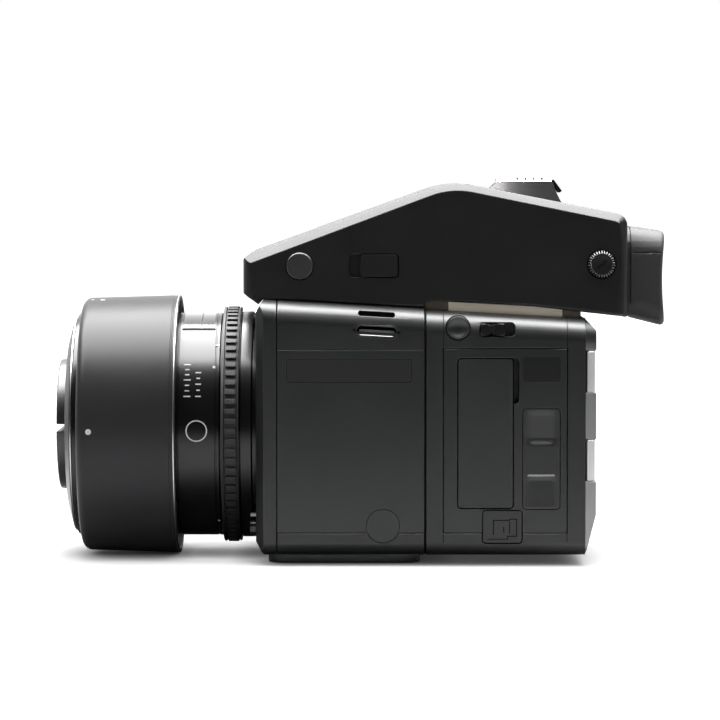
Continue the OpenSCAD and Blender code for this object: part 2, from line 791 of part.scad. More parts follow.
module focusing_screen() color("lightgray") block(well_front - ledge + fit, well_rear + ledge - fit,
    fit - well_y - ledge, well_y + ledge - fit, chassis_high - screen_t, chassis_high);

// Reflex mirror, drawn flat and tipped down from its hinge
module at_mirror() translate([hinge_x, 0, hinge_z]) rotate([0, -45, 0]) children();
module mirror_carrier() color("dimgray") {
    at_mirror() block(-mirror_l, 0, -mirror_w / 2, mirror_w / 2, -carrier_t / 2, carrier_t / 2);
    rod_y(hinge_r, hinge_x, fit - chamber_y - pin_l, chamber_y + pin_l - fit, hinge_z);
}
module mirror_glass() color("lightsteelblue")
    at_mirror() block(well_in - mirror_l, -2 * hinge_r, -well_y, well_y, carrier_t / 2,
        carrier_t / 2 + mirror_t);

// Focal plane shutter: three blades that fold into a stack below the gate
module shutter_frame() color("#303234") difference() {
    shutter_space(0);
    block(shutter_front + shutter_wall, shutter_rear - shutter_wall, -frame_y, frame_y, frame_low, frame_high);
    block(shutter_front - 1, shutter_rear + 1, -gate[0] / 2, gate[0] / 2, gate_low, gate_high);
}
module shutter_blade(i) color("#111214")
    block(shutter_front + shutter_wall + blade_gap + i * (blade_t + blade_gap),
        shutter_front + shutter_wall + (i + 1) * (blade_t + blade_gap), -blade_half, blade_half,
        gate_low - blade_lap + i * (blade_h - blade_lap),
        gate_low - blade_lap + i * (blade_h - blade_lap) + blade_h);

// Grip
module handle_outline(grow) translate(handle_mid)
    rounded(handle_front + handle_rear + 2 * grow, handle_w + 2 * grow, handle_r + grow);
module bay_outline(grow) translate(handle_mid)
    rounded(bay_size[0] + 2 * grow, bay_size[1] + 2 * grow, bay_r + grow);
module grip_shell() color("#232527") difference() {
    union() {
        along_z(base_t, grip_top) {
            handle_outline(0);
            root_outline(0);
        }
        block(plate_rear + seam, rear_x, chassis_y + fit, half_w + 2 * fit, seam_low + seam / 2, grip_top);
    }
    along_z(base_t - 1, bay_top) bay_outline(0);
    dial_space(front_dial_at);
    dial_space(rear_dial_at);
    rod_z(button_r + run, button_at[0], button_at[1], button_low - button_travel - run, grip_top + 1);
    display_block(fit, 1);
}
module dial_space(at) {
    rod_y(dial_r + run, at[0], at[1] - dial_w / 2 - run, at[1] + dial_w / 2 + run, at[2]);
    rod_y(shaft_r + run, at[0], at[1] - dial_w / 2 - axle_l - run, at[1] + dial_w / 2 + axle_l + run, at[2]);
}
module dial(at) color("#18191a") {
    translate([at[0], 0, at[2]]) along_y(at[1] - dial_w / 2, at[1] + dial_w / 2)
        toothed(dial_r, tooth_h, dial_teeth);
    rod_y(shaft_r, at[0], at[1] - dial_w / 2 - axle_l, at[1] + dial_w / 2 + axle_l, at[2]);
}
module root_outline(grow) translate([plate_rear + seam - grow, half_w + fit])
    square([handle_rear - plate_rear + grow, root_y - half_w]);
module grip_rubber() color("#141414") along_z(base_t + skin_low, front_dial_at[2] - dial_r - skin_high)
    intersection() {
        difference() {
            handle_outline(skin_t);
            handle_outline(fit / 2);
            root_outline(fit);
        }
        translate([-reach, 0]) square([reach - handle_r, reach]);
    }
module grip_battery() color("#35383b") along_z(door_top + run, bay_top - fit) bay_outline(-fit);
module grip_door() color("#232527") along_z(base_t, door_top) bay_outline(-run);
module display_block(grow, rise) along_z(grip_top - display_t, grip_top + rise) translate(display_at)
    rounded(display_size[0] + 2 * grow, display_size[1] + 2 * grow, display_r + grow);
module top_display() color("black") display_block(0, 0);
module shutter_button() color("silver")
    rod_z(button_r, button_at[0], button_at[1], button_low, grip_top + button_h);
module power_collar() color("#1c1d1e") difference() {
    union() {
        rod_z(collar_r, button_at[0], button_at[1], grip_top + run, grip_top + run + collar_t);
        along_z(grip_top + run, grip_top + run + collar_t) translate([button_at[0], button_at[1] + collar_r])
            rounded(lever_size[0], lever_size[1], lever_r);
    }
    rod_z(button_r + 2 * run, button_at[0], button_at[1], grip_top, grip_top + button_h);
}

// Lens
module lens_barrel() color("#1b1c1e") turned() polygon([
    [barrel_bore_r, ring_front], [sleeve_r, ring_front], [sleeve_r, barrel_rear], [barrel_r, barrel_rear],
    [barrel_r, lens_front + filter_l], [barrel_r - filter_taper, lens_front], [filter_r, lens_front],
    [filter_r, lens_front + filter_l], [barrel_bore_r, lens_front + filter_l]
]);
module lens_bayonet() color("silver") turned() polygon([
    [spigot_r - spigot_t, flange_x + spigot_l], [spigot_r, flange_x + spigot_l], [spigot_r, flange_x],
    [mount_r, flange_x], [mount_r, flange_x - run], [rear_ring_r, flange_x - run], [rear_ring_r, ring_front],
    [barrel_bore_r, ring_front], [barrel_bore_r, flange_x - web_t], [spigot_r - spigot_t, flange_x - web_t]
]);
module lens_glass(r, x0, x1, bulge) turned() polygon([
    [0, x0 - bulge], for (t = [0.25:0.25:1]) [r * t, x0 - bulge * (1 - t * t)], [r, x1], [0, x1]
]);
module rear_glass() color("lightblue")
    lens_glass(spigot_r - spigot_t - fit, flange_x - web_t / 2, flange_x + spigot_l - web_t, rear_bulge);
module focus_ring() color("#2b2c2e") turned() polygon([
    [sleeve_r + run, focus_front], [focus_r - rib_h - rubber_t - fit, focus_front],
    [focus_r - rib_h - rubber_t - fit, focus_rear], [sleeve_r + run, focus_rear]
]);
module focus_rubber() color("#141414") translate([0, 0, axis_z])
    along_x(focus_front + rubber_inset, focus_rear - rubber_inset) difference() {
        toothed(focus_r, rib_h, ribs);
        circle(focus_r - rib_h - rubber_t, $fn = 400);
    }
module front_cell() color("#1b1c1e") turned() polygon([
    [glass_r + fit, cell_front], [barrel_bore_r - run, cell_front], [barrel_bore_r - run, cell_front + cell_l],
    [glass_r - glass_step, cell_front + cell_l], [glass_r - glass_step, cell_front + cell_l / 2],
    [glass_r + fit, cell_front + cell_l / 2]
]);
module front_glass() color("lightblue") lens_glass(glass_r, cell_front + cell_l / 4, cell_front + cell_l / 2,
    front_bulge);
module hood() color("#1d1e20") turned() polygon(concat(
    [[barrel_r + run, hood_front]],
    [for (a = [90:-15:0]) [hood_front_r - hood_nose * (1 - cos(a)), hood_front + hood_nose * (1 - sin(a))]],
    [
        [hood_r, hood_rear], [hood_r - hood_t, hood_rear], [hood_front_r - hood_t, hood_front + hood_flange],
        [barrel_r + run, hood_front + hood_flange]
    ]
));
module lens_cap() color("#151617") turned() polygon([
    [0, cap_front], [cap_r - bevel_cap, cap_front], [cap_r, cap_rear - cap_edge], [cap_r, cap_rear],
    [filter_r - run, cap_rear], [filter_r - run, lens_front + cap_plug], [0, lens_front + cap_plug]
]);
module cap_tab(side) color("#151617") intersection() {
    rod_x(tab_r, cap_front - run - tab_t, cap_front - run, 0, axis_z);
    translate([0, 0, axis_z + side * (tab_r + tab_gap) / 2]) cube([reach, reach, tab_r], center = true);
}

// Prism finder
module roof_limit(rear, front) translate([front[0], 0, front[1]])
    rotate([0, atan2(front[1] - rear[1], rear[0] - front[0]), 0]) along_x(-reach, reach) polygon([
        [-roof_half, 0], [roof_half, 0], [roof_half + finder_w, -finder_w], [roof_half + finder_w, -reach],
        [-roof_half - finder_w, -reach], [-roof_half - finder_w, -finder_w]
    ]);
module finder_block() intersection() {
    along_y(-reach, reach) polygon(finder_outline);
    along_z(0, reach) translate([(finder_rear - finder_nose) / 2, 0])
        rounded(finder_rear + finder_nose, finder_w, finder_r);
    along_x(-reach, reach) polygon([
        [-finder_half(0), 0], [finder_half(0), 0], [finder_half(reach), reach], [-finder_half(reach), reach]
    ]);
    intersection_for (i = [1:len(finder_roof) - 1]) roof_limit(finder_roof[i - 1], finder_roof[i]);
}
module finder_housing() color("#1a1b1d") difference() {
    finder_block();
    along_y(-hollow_y, hollow_y) polygon(finder_hollow);
    rod_x(eye_r + run, eye_front - 1, finder_rear + 1, 0, eye_z);
    rod_y(side_cap_r + fit, side_cap_at[0], -reach, side_pocket - finder_half(side_cap_at[1]), side_cap_at[1]);
    latch_space(run, latch_travel, -reach, side_pocket - finder_half(latch_at[1]));
    rod_y(knob_r + run, knob_at[0], -reach, side_pocket - finder_half(knob_at[1]), knob_at[1]);
    rod_y(shaft_r + run, knob_at[0], -reach, shaft_l - finder_half(knob_at[1]), knob_at[1]);
}
module latch_space(grow, travel, y0, y1) along_y(y0, y1) translate(latch_at - [travel / 2, 0])
    rounded(latch_size[0] + travel + 2 * grow, latch_size[1] + 2 * grow, face_r + grow);
module prism_glass() color("lightblue") along_y(fit - hollow_y, hollow_y - fit) polygon(prism_outline);
module side_cap() color("#222325") rod_y(side_cap_r, side_cap_at[0], -finder_half(side_cap_at[1]) - cap_out,
    side_pocket - finder_half(side_cap_at[1]), side_cap_at[1]);
module finder_latch() color("#222325")
    latch_space(0, 0, -finder_half(latch_at[1]) - latch_out, side_pocket - run - finder_half(latch_at[1]));
module diopter_knob() color("#141516") {
    translate([knob_at[0], 0, knob_at[1]])
        along_y(-finder_half(knob_at[1]) - knob_out, side_pocket - run - finder_half(knob_at[1]))
            toothed(knob_r, tooth_h, knob_teeth);
    rod_y(shaft_r, knob_at[0], -finder_half(knob_at[1]), shaft_l - run - finder_half(knob_at[1]), knob_at[1]);
}
module eyepiece_lens() color("lightblue")
    rod_x(eye_r, finder_rear - eye_inset - eye_travel - eye_l, finder_rear - eye_inset - eye_travel, 0, eye_z);
module eyecup() color("#1c1d1f") difference() {
    intersection() {
        along_y(-reach, reach) polygon([
            [finder_rear, cup_z[0] + cup_low], [cup_face, cup_z[0]], [cup_face - cup_hollow, eye_z],
            [cup_face, cup_z[1] - cup_high], [finder_rear, cup_z[1]]
        ]);
        along_x(finder_rear, cup_face + 1) translate([0, (cup_z[0] + cup_z[1]) / 2])
            rounded(cup_w, cup_z[1] - cup_z[0], cup_r);
    }
    along_x(finder_rear - 1, cup_face + 1) translate([0, eye_z])
        rounded(cup_window[0], cup_window[1], cup_r - 1);
}
module accessory_shoe() color("gainsboro") {
    along_y(-shoe_half, shoe_half) polygon([
        [shoe_x - shoe_ramp, roof_at(shoe_x - shoe_ramp)], [shoe_x, shoe_floor], [shoe_x + shoe_l, shoe_floor],
        [shoe_x + shoe_l + shoe_tail, roof_at(shoe_x + shoe_l + shoe_tail)]
    ]);
    along_x(shoe_x, shoe_x + shoe_l) translate([0, shoe_floor]) difference() {
        translate([-shoe_half, -shoe_t / 2]) square([2 * shoe_half, shoe_top - shoe_floor + shoe_t / 2]);
        translate([-shoe_channel / 2, 0]) square([shoe_channel, channel_h]);
        translate([-shoe_mouth / 2, 0]) square([shoe_mouth, shoe_top]);
    }
}

// Digital back
module at_corner(at, size) translate(at + size / 2) children();
module pack_face(grow) at_corner(pack_at, pack_size)
    rounded(pack_size[0] + 2 * grow, pack_size[1] + 2 * grow, face_r + grow);
module finger_notch() along_y(-reach, notch_d - half_w)
    translate(pack_at + pack_size - [notch_root - pack_notch[0], pack_notch[1]] / 2 + [0, run])
        rounded(pack_notch[0] + notch_root, pack_notch[1], face_r + run);
module card_face(grow) at_corner(card_at, card_size)
    rounded(card_size[0] + 2 * grow, card_size[1] + 2 * grow, face_r + grow);
module flap_face(grow) at_corner(flap_at, flap_size)
    rounded(flap_size[0] + 2 * grow, flap_size[1] + 2 * grow, face_r + grow);
module panel_space(grow) block(panel_front - grow, panel_rear + grow, -reach, cover_t + grow - half_w,
    seam_low - grow, back_seam_high + grow);
module slide_space(grow, travel, y0, y1) along_y(y0, y1) translate(slide_at + [travel / 2, 0])
    rounded(slide_size[0] + travel + 2 * grow, slide_size[1] + 2 * grow, face_r + grow);
module light_seal() along_x(rear_x, back_front) polygon([
    [seal_in - half_w, base_t + sole_r], [sole_r - half_w, base_t + seal_in],
    [half_w - sole_r, base_t + seal_in], [half_w - seal_in, base_t + sole_r],
    [half_w - seal_in, seal_high - shoulder_r], [half_w - shoulder_r, seal_high],
    [shoulder_r - half_w, seal_high], [seal_in - half_w, seal_high - shoulder_r]
]);
module back_housing() color("#232527") difference() {
    union() {
        case_solid(back_front, back_rear, back_top);
        light_seal();
    }
    panel_space(seam / 2);
    block(rear_x - 1, board_front, -chamber_y, chamber_y, board_low + board_lap, board_high - board_lap);
    block(board_front - 1, board_front + board_t, -chamber_y - board_lap, chamber_y + board_lap, board_low,
        board_high);
    along_y(-reach, pack_d + run - half_w) pack_face(run);
    finger_notch();
    along_y(-reach, card_bay - half_w) card_face(run);
    along_y(-reach, door_t + port_d - half_w) flap_face(run);
    rod_y(lock_r + run, lock_at[0], -reach, lock_travel + lock_l - half_w, lock_at[1]);
    slide_space(run, slide_travel, -reach, slide_d + run - half_w);
    block(board_front + board_t + back_wall, back_rear - 2 * back_wall, back_wall, half_w - back_wall,
        base_t + 2 * back_wall, back_seam_high);
}
module back_panel() color("#26292b") difference() {
    block(panel_front + seam / 2, panel_rear - seam / 2, -half_w, cover_t - half_w, seam_low + seam / 2,
        back_seam_high - seam / 2);
    along_y(-reach, 0) pack_face(run);
    finger_notch();
    along_y(-reach, 0) card_face(run);
    along_y(-reach, 0) flap_face(run);
    along_y(-reach, field_d - half_w) at_corner(plate_at, plate_size)
        rounded(plate_size[0], plate_size[1], plate_r);
}
module back_bezel() color("#5a5d60") difference() {
    intersection() {
        case_solid(back_rear, bezel_rear, back_top);
        along_y(-reach, reach) polygon([
            [back_rear, base_t], [bezel_rear, base_t + bezel_low],
            [bezel_rear, top_at(back_rear, back_top) - bezel_high], [back_rear, top_at(back_rear, back_top)]
        ]);
    }
    screen_block(fit, 1);
    for (side = [-1, 1], z = key_z) key_block(side, z, back_rear - 1, run);
}
module screen_block(grow, rise) along_x(bezel_rear - screen_glass_t, bezel_rear + rise)
    translate([0, screen_z]) rounded(screen_size[0] + 2 * grow, screen_size[1] + 2 * grow, display_r + grow);
module screen_glass() color("black") screen_block(0, 0);
module key_block(side, z, x0, grow) translate([x0, side > 0 ? half_w - key_w - grow : -half_w - grow,
    z - key_h / 2 - grow]) cube([bezel_rear + key_out - x0 + grow, key_w + 2 * grow, key_h + 2 * grow]);
module rear_key(side, z) color("silver") key_block(side, z, back_rear + bezel_key, 0);
module sensor() color("steelblue") block(board_front - sensor_t, board_front, -gate[0] / 2 - sensor_rim,
    gate[0] / 2 + sensor_rim, gate_low - sensor_rim, gate_high + sensor_rim);
module sensor_board() color("darkgreen") block(board_front, board_front + board_t, fit - chamber_y - board_lap,
    chamber_y + board_lap - fit, board_low + fit, board_high - fit);
module back_battery() color("#202123") along_y(-half_w, pack_d - half_w) pack_face(0);
module card_door() color("#202123") difference() {
    along_y(-half_w, door_t - half_w) card_face(0);
    for (z = [card_at[1] + dimple_h / 2, card_at[1] + card_size[1] - dimple_h / 2])
        rod_x(dimple_r, card_at[0] + 1, card_hinge - 1, dimple_d - half_w - dimple_r, z);
}
module port_flap() color("#202123") along_y(-half_w, door_t - half_w) flap_face(0);
module lock_button() color("#303234")
    rod_y(lock_r, lock_at[0], -half_w - lock_out, lock_l - run - half_w, lock_at[1]);
module release_slide() color("#141516") slide_space(0, 0, -half_w - slide_out, slide_d - half_w);

front_plate();
mirror_box();
left_cover();
top_cover();
bottom_cover();
tripod_plate();
screws();
side_plug();
mount_ring();
lens_release();
mirror_carrier();
mirror_glass();
focusing_screen();
shutter_frame();
shutter_blade(0);  // shutter_blade_low
shutter_blade(1);  // shutter_blade_mid
shutter_blade(2);  // shutter_blade_high
grip_shell();
grip_rubber();
grip_battery();
grip_door();
top_display();
shutter_button();
power_collar();
dial(front_dial_at);  // front_dial
dial(rear_dial_at);  // rear_dial
lens_barrel();
lens_bayonet();
rear_glass();
focus_ring();
focus_rubber();
front_cell();
front_glass();
hood();
lens_cap();
cap_tab(1);  // cap_tab_upper
cap_tab(-1);  // cap_tab_lower
finder_housing();
prism_glass();
side_cap();
finder_latch();
diopter_knob();
eyepiece_lens();
eyecup();
accessory_shoe();
back_housing();
back_panel();
back_bezel();
screen_glass();
sensor();
sensor_board();
back_battery();
card_door();
port_flap();
lock_button();
release_slide();
rear_key(-1, key_z[1]);  // key_upper_left
rear_key(-1, key_z[0]);  // key_lower_left
rear_key(1, key_z[1]);  // key_upper_right
rear_key(1, key_z[0]);  // key_lower_right
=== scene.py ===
import json
import math

import bmesh
import bpy
from mathutils import Matrix, Vector


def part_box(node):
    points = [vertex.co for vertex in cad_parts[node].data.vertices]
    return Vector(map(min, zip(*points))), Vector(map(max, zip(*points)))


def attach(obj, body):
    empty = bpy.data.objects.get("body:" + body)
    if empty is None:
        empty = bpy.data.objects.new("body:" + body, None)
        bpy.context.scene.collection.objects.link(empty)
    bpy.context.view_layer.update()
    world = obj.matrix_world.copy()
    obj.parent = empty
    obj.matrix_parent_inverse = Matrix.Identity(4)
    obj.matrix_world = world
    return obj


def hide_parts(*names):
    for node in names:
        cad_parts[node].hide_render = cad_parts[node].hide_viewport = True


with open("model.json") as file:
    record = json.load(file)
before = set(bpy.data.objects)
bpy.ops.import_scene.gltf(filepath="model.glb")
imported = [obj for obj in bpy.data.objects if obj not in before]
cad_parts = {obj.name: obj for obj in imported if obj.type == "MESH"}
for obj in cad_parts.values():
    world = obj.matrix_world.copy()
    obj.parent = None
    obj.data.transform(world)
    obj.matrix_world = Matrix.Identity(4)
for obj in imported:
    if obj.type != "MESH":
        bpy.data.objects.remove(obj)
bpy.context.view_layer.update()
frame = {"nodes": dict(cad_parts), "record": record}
cadNodes = frame["nodes"]
record = frame["record"]
bodyOfNode = {node: body for body, members in record["behaviour"]["bodies"].items() for node in members}
mm = 0.001
lensAxis = Vector((0, 0, 45.5))  # millimetres, as all sizes below
sideY = -46.0  # left side of the body and the back
print("frame loaded:", len(cadNodes), "nodes")

# each finish: its colour and roughness, and where its grain, mottling or gloss differs from the plain one
plainFinish = {"grain": 5200, "depth": 0.05, "mottle": 0.10, "metal": 0.0, "specular": 0.5, "coat": 0.0,
               "stretch": (1, 1, 1)}
finishTable = {
    "bodyPaint": {"color": (0.0066, 0.0073, 0.0076), "rough": 0.37},
    "panelPaint": {"color": (0.0098, 0.0112, 0.0115), "rough": 0.34, "grain": 5600, "depth": 0.04},
    "finderPaint": {"color": (0.0138, 0.0142, 0.014), "rough": 0.36, "grain": 4200, "depth": 0.09, "mottle": 0.14,
        "specular": 0.24},
    "capPaintAndHighlight": {"color": (0.021, 0.0215, 0.022), "rough": 0.42},
    # the bezel's grey metal darkens towards the top: a painted reflection of the dim room over a pale table
    "bezelPaint": {"color": (0.27, 0.265, 0.274), "rough": 0.38, "grain": 4800, "mottle": 0.06, "metal": 0.85,
        "paintedReflection": ((0.2, 0, 1), 0.088, 0.096, (0.02, 0.0205, 0.021))},
    "silverKey": {"color": (0.76, 0.76, 0.755), "rough": 0.34, "grain": 6200, "mottle": 0.04, "metal": 0.6},
    "turnedMetalAndGlint": {"color": (0.43, 0.428, 0.422), "rough": 0.3, "grain": 60, "depth": 0.06, "mottle": 0.05,
        "metal": 1.0, "stretch": (90, 1, 1)},
    "shoeMetal": {"color": (0.7, 0.7, 0.695), "rough": 0.26, "grain": 70, "mottle": 0.05, "metal": 1.0,
        "stretch": (1, 60, 60)},
    "skirtMetalAndGlint": {"color": (0.36, 0.35, 0.356), "rough": 0.34, "grain": 70, "depth": 0.04, "mottle": 0.06,
        "metal": 1.0, "stretch": (1, 60, 60)},
    "chassisMetal": {"color": (0.11, 0.112, 0.116), "rough": 0.44, "grain": 2600, "depth": 0.1, "metal": 0.8},
    "barrelBlack": {"color": (0.0058, 0.0057, 0.0056), "rough": 0.24, "grain": 70, "depth": 0.04, "specular": 0.29,
        "stretch": (80, 1, 1)},
    "hoodBlack": {"color": (0.031, 0.031, 0.033), "rough": 0.38, "grain": 3600, "depth": 0.08, "specular": 0.14},
    "capBlack": {"color": (0.009, 0.009, 0.0095), "rough": 0.36, "grain": 3800, "depth": 0.07, "mottle": 0.08},
    "rubberBlack": {"color": (0.012, 0.0118, 0.0115), "rough": 0.62, "grain": 2600, "depth": 0.16, "mottle": 0.16,
        "specular": 0.40},
    "gripRubber": {"color": (0.011, 0.0108, 0.0105), "rough": 0.66, "grain": 900, "depth": 0.45, "mottle": 0.18,
        "specular": 0.35},
    "gripPlastic": {"color": (0.01, 0.0105, 0.011), "rough": 0.44, "grain": 3000, "depth": 0.12},
    "doorPlastic": {"color": (0.0095, 0.0102, 0.0105), "rough": 0.38, "grain": 4600},
    "controlBlack": {"color": (0.0065, 0.0066, 0.007), "rough": 0.26, "grain": 5000, "depth": 0.03,
        "mottle": 0.08},
    "shadowBlack": {"color": (0.002, 0.002, 0.0022), "rough": 0.8, "grain": 2400, "depth": 0.1,
        "specular": 0.10},
    "fieldPaint": {"color": (0.0092, 0.0094, 0.0086), "rough": 0.36, "specular": 0.46},
    "plateBlack": {"color": (0.0048, 0.005, 0.005), "rough": 0.45, "specular": 0.24},
    # the seal's warm brown and pale tone are painted reflection of the lit band under the finder
    "sealBrownReflection": {"color": (0.13, 0.108, 0.086), "rough": 0.75, "grain": 3000, "depth": 0.2, "mottle": 0.2,
        "specular": 0.20},
    "paleBandPaint": {"color": (0.8, 0.71, 0.58), "rough": 0.8, "grain": 3000, "depth": 0.2, "mottle": 0.16,
        "specular": 0.20},
    "shutterBlack": {"color": (0.008, 0.008, 0.0085), "rough": 0.5, "grain": 3000, "depth": 0.08},
    "markWhite": {"color": (0.76, 0.76, 0.75), "rough": 0.5, "grain": 6000, "mottle": 0.04},
    "displayGlass": {"color": (0.004, 0.0044, 0.0052), "rough": 0.07, "grain": 260, "depth": 0.01, "coat": 0.5},
    "windowGlass": {"color": (0.01, 0.011, 0.012), "rough": 0.1, "grain": 260, "depth": 0.01, "coat": 0.6},
    "mirrorCoat": {"color": (0.88, 0.885, 0.9), "rough": 0.04, "grain": 300, "depth": 0.005, "mottle": 0.02,
        "metal": 1.0},
    "groundScreen": {"color": (0.62, 0.64, 0.65), "rough": 0.55, "grain": 9000, "depth": 0.1,
        "mottle": 0.04},
    "lensGlass": {"color": (0.03, 0.026, 0.042), "rough": 0.05, "grain": 240, "depth": 0.004, "mottle": 0.25,
        "coat": 0.8},
    "sensorGlass": {"color": (0.018, 0.045, 0.06), "rough": 0.08, "grain": 300, "depth": 0.005, "mottle": 0.2,
        "coat": 0.6},
    "circuitGreen": {"color": (0.012, 0.085, 0.038), "rough": 0.4, "grain": 700, "depth": 0.25, "mottle": 0.35},
}


def addRamp(tree, value, reach, levels):
    ramp = tree.nodes.new("ShaderNodeMapRange")
    ramp.interpolation_type = "SMOOTHSTEP"
    for socket, number in zip(("From Min", "From Max", "To Min", "To Max"), reach + levels):
        ramp.inputs[socket].default_value = number
    tree.links.new(value, ramp.inputs["Value"])
    return ramp.outputs["Result"]


# a Math node whose inputs are numbers or other nodes' outputs
def addMath(tree, operation, *sources):
    node = tree.nodes.new("ShaderNodeMath")
    node.operation = operation
    for socket, source in zip(node.inputs, sources):
        if isinstance(source, float):
            socket.default_value = source
        else:
            tree.links.new(source, socket)
    return node.outputs["Value"]


def makeFinish(name, spec):
    spec = {**plainFinish, **spec}
    material = bpy.data.materials.new(name)
    material.use_nodes = True
    tree = material.node_tree
    add, join = tree.nodes.new, tree.links.new
    shader = tree.nodes["Principled BSDF"]
    shader.inputs["Metallic"].default_value = spec["metal"]
    shader.inputs["Specular IOR Level"].default_value = spec["specular"]
    shader.inputs["Coat Weight"].default_value = spec["coat"]
    shader.inputs["Coat Roughness"].default_value = 0.05
    place = add("ShaderNodeTexCoord")
    stretch = add("ShaderNodeMapping")
    stretch.inputs["Scale"].default_value = spec["stretch"]
    join(place.outputs["Object"], stretch.inputs["Vector"])
    grain = add("ShaderNodeTexNoise")  # paint grain, turning lines or moulded texture
    grain.inputs["Scale"].default_value = spec["grain"]
    grain.inputs["Detail"].default_value = 3
    join(stretch.outputs["Vector"], grain.inputs["Vector"])
    mottle = add("ShaderNodeTexNoise")  # handling and slow colour drift
    mottle.inputs["Scale"].default_value = 55
    mottle.inputs["Detail"].default_value = 4
    join(place.outputs["Object"], mottle.inputs["Vector"])
    tint = add("ShaderNodeMix")
    tint.data_type = "RGBA"
    shades = [tuple(c * (1 + sign * spec["mottle"]) for c in spec["color"]) + (1,) for sign in (-1, 1)]
    tint.inputs["A"].default_value, tint.inputs["B"].default_value = shades
    join(mottle.outputs["Fac"], tint.inputs["Factor"])
    colour = tint.outputs["Result"]
    if "paintedReflection" in spec:  # painted reflection: a second, darker colour comes in along one way, as a dim room above would be mirrored
        way, start, end, far = spec["paintedReflection"]
        along = add("ShaderNodeVectorMath")
        along.operation = "DOT_PRODUCT"
        along.inputs[1].default_value = way
        join(place.outputs["Object"], along.inputs[0])
        paintedReflection = add("ShaderNodeMix")
        paintedReflection.data_type = "RGBA"
        paintedReflection.inputs["B"].default_value = far + (1,)
        join(addRamp(tree, along.outputs["Value"], (start, end), (0, 1)), paintedReflection.inputs["Factor"])
        join(colour, paintedReflection.inputs["A"])
        colour = paintedReflection.outputs["Result"]
    join(colour, shader.inputs["Base Color"])
    sheen = add("ShaderNodeMapRange")
    sheen.inputs["To Min"].default_value = max(0.02, spec["rough"] * 0.86)
    sheen.inputs["To Max"].default_value = min(1.0, spec["rough"] * 1.14)
    join(mottle.outputs["Fac"], sheen.inputs["Value"])
    join(sheen.outputs["Result"], shader.inputs["Roughness"])
    bump = add("ShaderNodeBump")
    bump.inputs["Strength"].default_value = spec["depth"]
    bump.inputs["Distance"].default_value = 0.4 * mm
    join(grain.outputs["Fac"], bump.inputs["Height"])
    join(bump.outputs["Normal"], shader.inputs["Normal"])
    return material


finishes = {name: makeFinish(name, spec) for name, spec in finishTable.items()}
print("finishes made:", len(finishes))


def finishPiece(name, bm, finishNames, body, stands, sharp=32):
    bmesh.ops.scale(bm, vec=(mm, mm, mm), verts=bm.verts)
    mesh = bpy.data.meshes.new(name)
    bm.to_mesh(mesh)
    bm.free()
    for finishName in finishNames:
        mesh.materials.append(finishes[finishName])
    for face in mesh.polygons:  # wide flats are shaded flat
        face.use_smooth = len(face.vertices) < 5 or face.area < 1e-4
    mesh.set_sharp_from_angle(angle=math.radians(sharp))
    piece = bpy.data.objects.new(name, mesh)
    bpy.context.scene.collection.objects.link(piece)
    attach(piece, body)
    if stands:
        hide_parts(*stands)
    evener = piece.modifiers.new("even shading", "WEIGHTED_NORMAL")
    evener.keep_sharp = True


def bevelEdges(bm, edges, width, segments=2):
    bmesh.ops.bevel(bm, geom=edges, offset=width, segments=segments, profile=0.5, affect="EDGES", material=-1,
                    clamp_overlap=False)


def sharpEdges(bm, degrees=30):
    return [e for e in bm.edges if e.is_manifold and e.calc_face_angle() > math.radians(degrees)]


# sharp edges above a level that look out of a side and up (way 1), or below it and down (way -1)
def sideEdges(bm, way, level):
    found = []
    for e in sharpEdges(bm, 60):
        look = (e.link_faces[0].normal + e.link_faces[1].normal).normalized()
        outward = look.y * e.verts[0].co.y > 0 and abs(look.y) > 0.5
        if outward and look.z * way > 0.5 and (e.verts[0].co.z - level) * way > 0:
            found.append(e)
    return found


# cuts a mesh along planes square to one axis, and gives the new edges
def sliceMesh(bm, axis, stations):
    way = Vector([float(axis == n) for n in range(3)])
    made = []
    for at in stations:
        cut = bmesh.ops.bisect_plane(bm, geom=bm.verts[:] + bm.edges[:] + bm.faces[:], plane_co=way * at,
                                     plane_no=way)
        made += [e for e in cut["geom_cut"] if isinstance(e, bmesh.types.BMEdge)]
    return made


# cuts (axis, place) stay as seams through the pockets of a face, so that no face has a hole in it
def mergedCopy(node, cuts=()):
    bm = bmesh.new()
    bm.from_mesh(cadNodes[node].data)
    bmesh.ops.remove_doubles(bm, verts=bm.verts, dist=2e-6)
    bmesh.ops.scale(bm, vec=(1 / mm,) * 3, verts=bm.verts)
    for axis, at in cuts:
        for edge in sliceMesh(bm, axis, (at,)):
            edge.seam = True
    bmesh.ops.dissolve_limit(bm, angle_limit=math.radians(0.6), verts=bm.verts, edges=bm.edges, delimit={"SEAM"})
    return bm


# a merged copy of a CAD node whose edges are broken, so that they catch the light
def dressNode(node, finishName, width, second=None, wide=None, cuts=()):
    bm = mergedCopy(node, cuts)
    if wide:  # the upper or lower edges of both sides
        bevelEdges(bm, sideEdges(bm, *wide[:2]), *wide[2:])
    bevelEdges(bm, sharpEdges(bm), width)
    names = [finishName]
    if second:  # another finish on the faces that look one way
        names.append(second[0])
        for face in bm.faces:
            face.material_index = int(face.normal.dot(Vector(second[1])) > 0.9)
    finishPiece("dressed_" + node, bm, names, bodyOfNode[node], (node,))


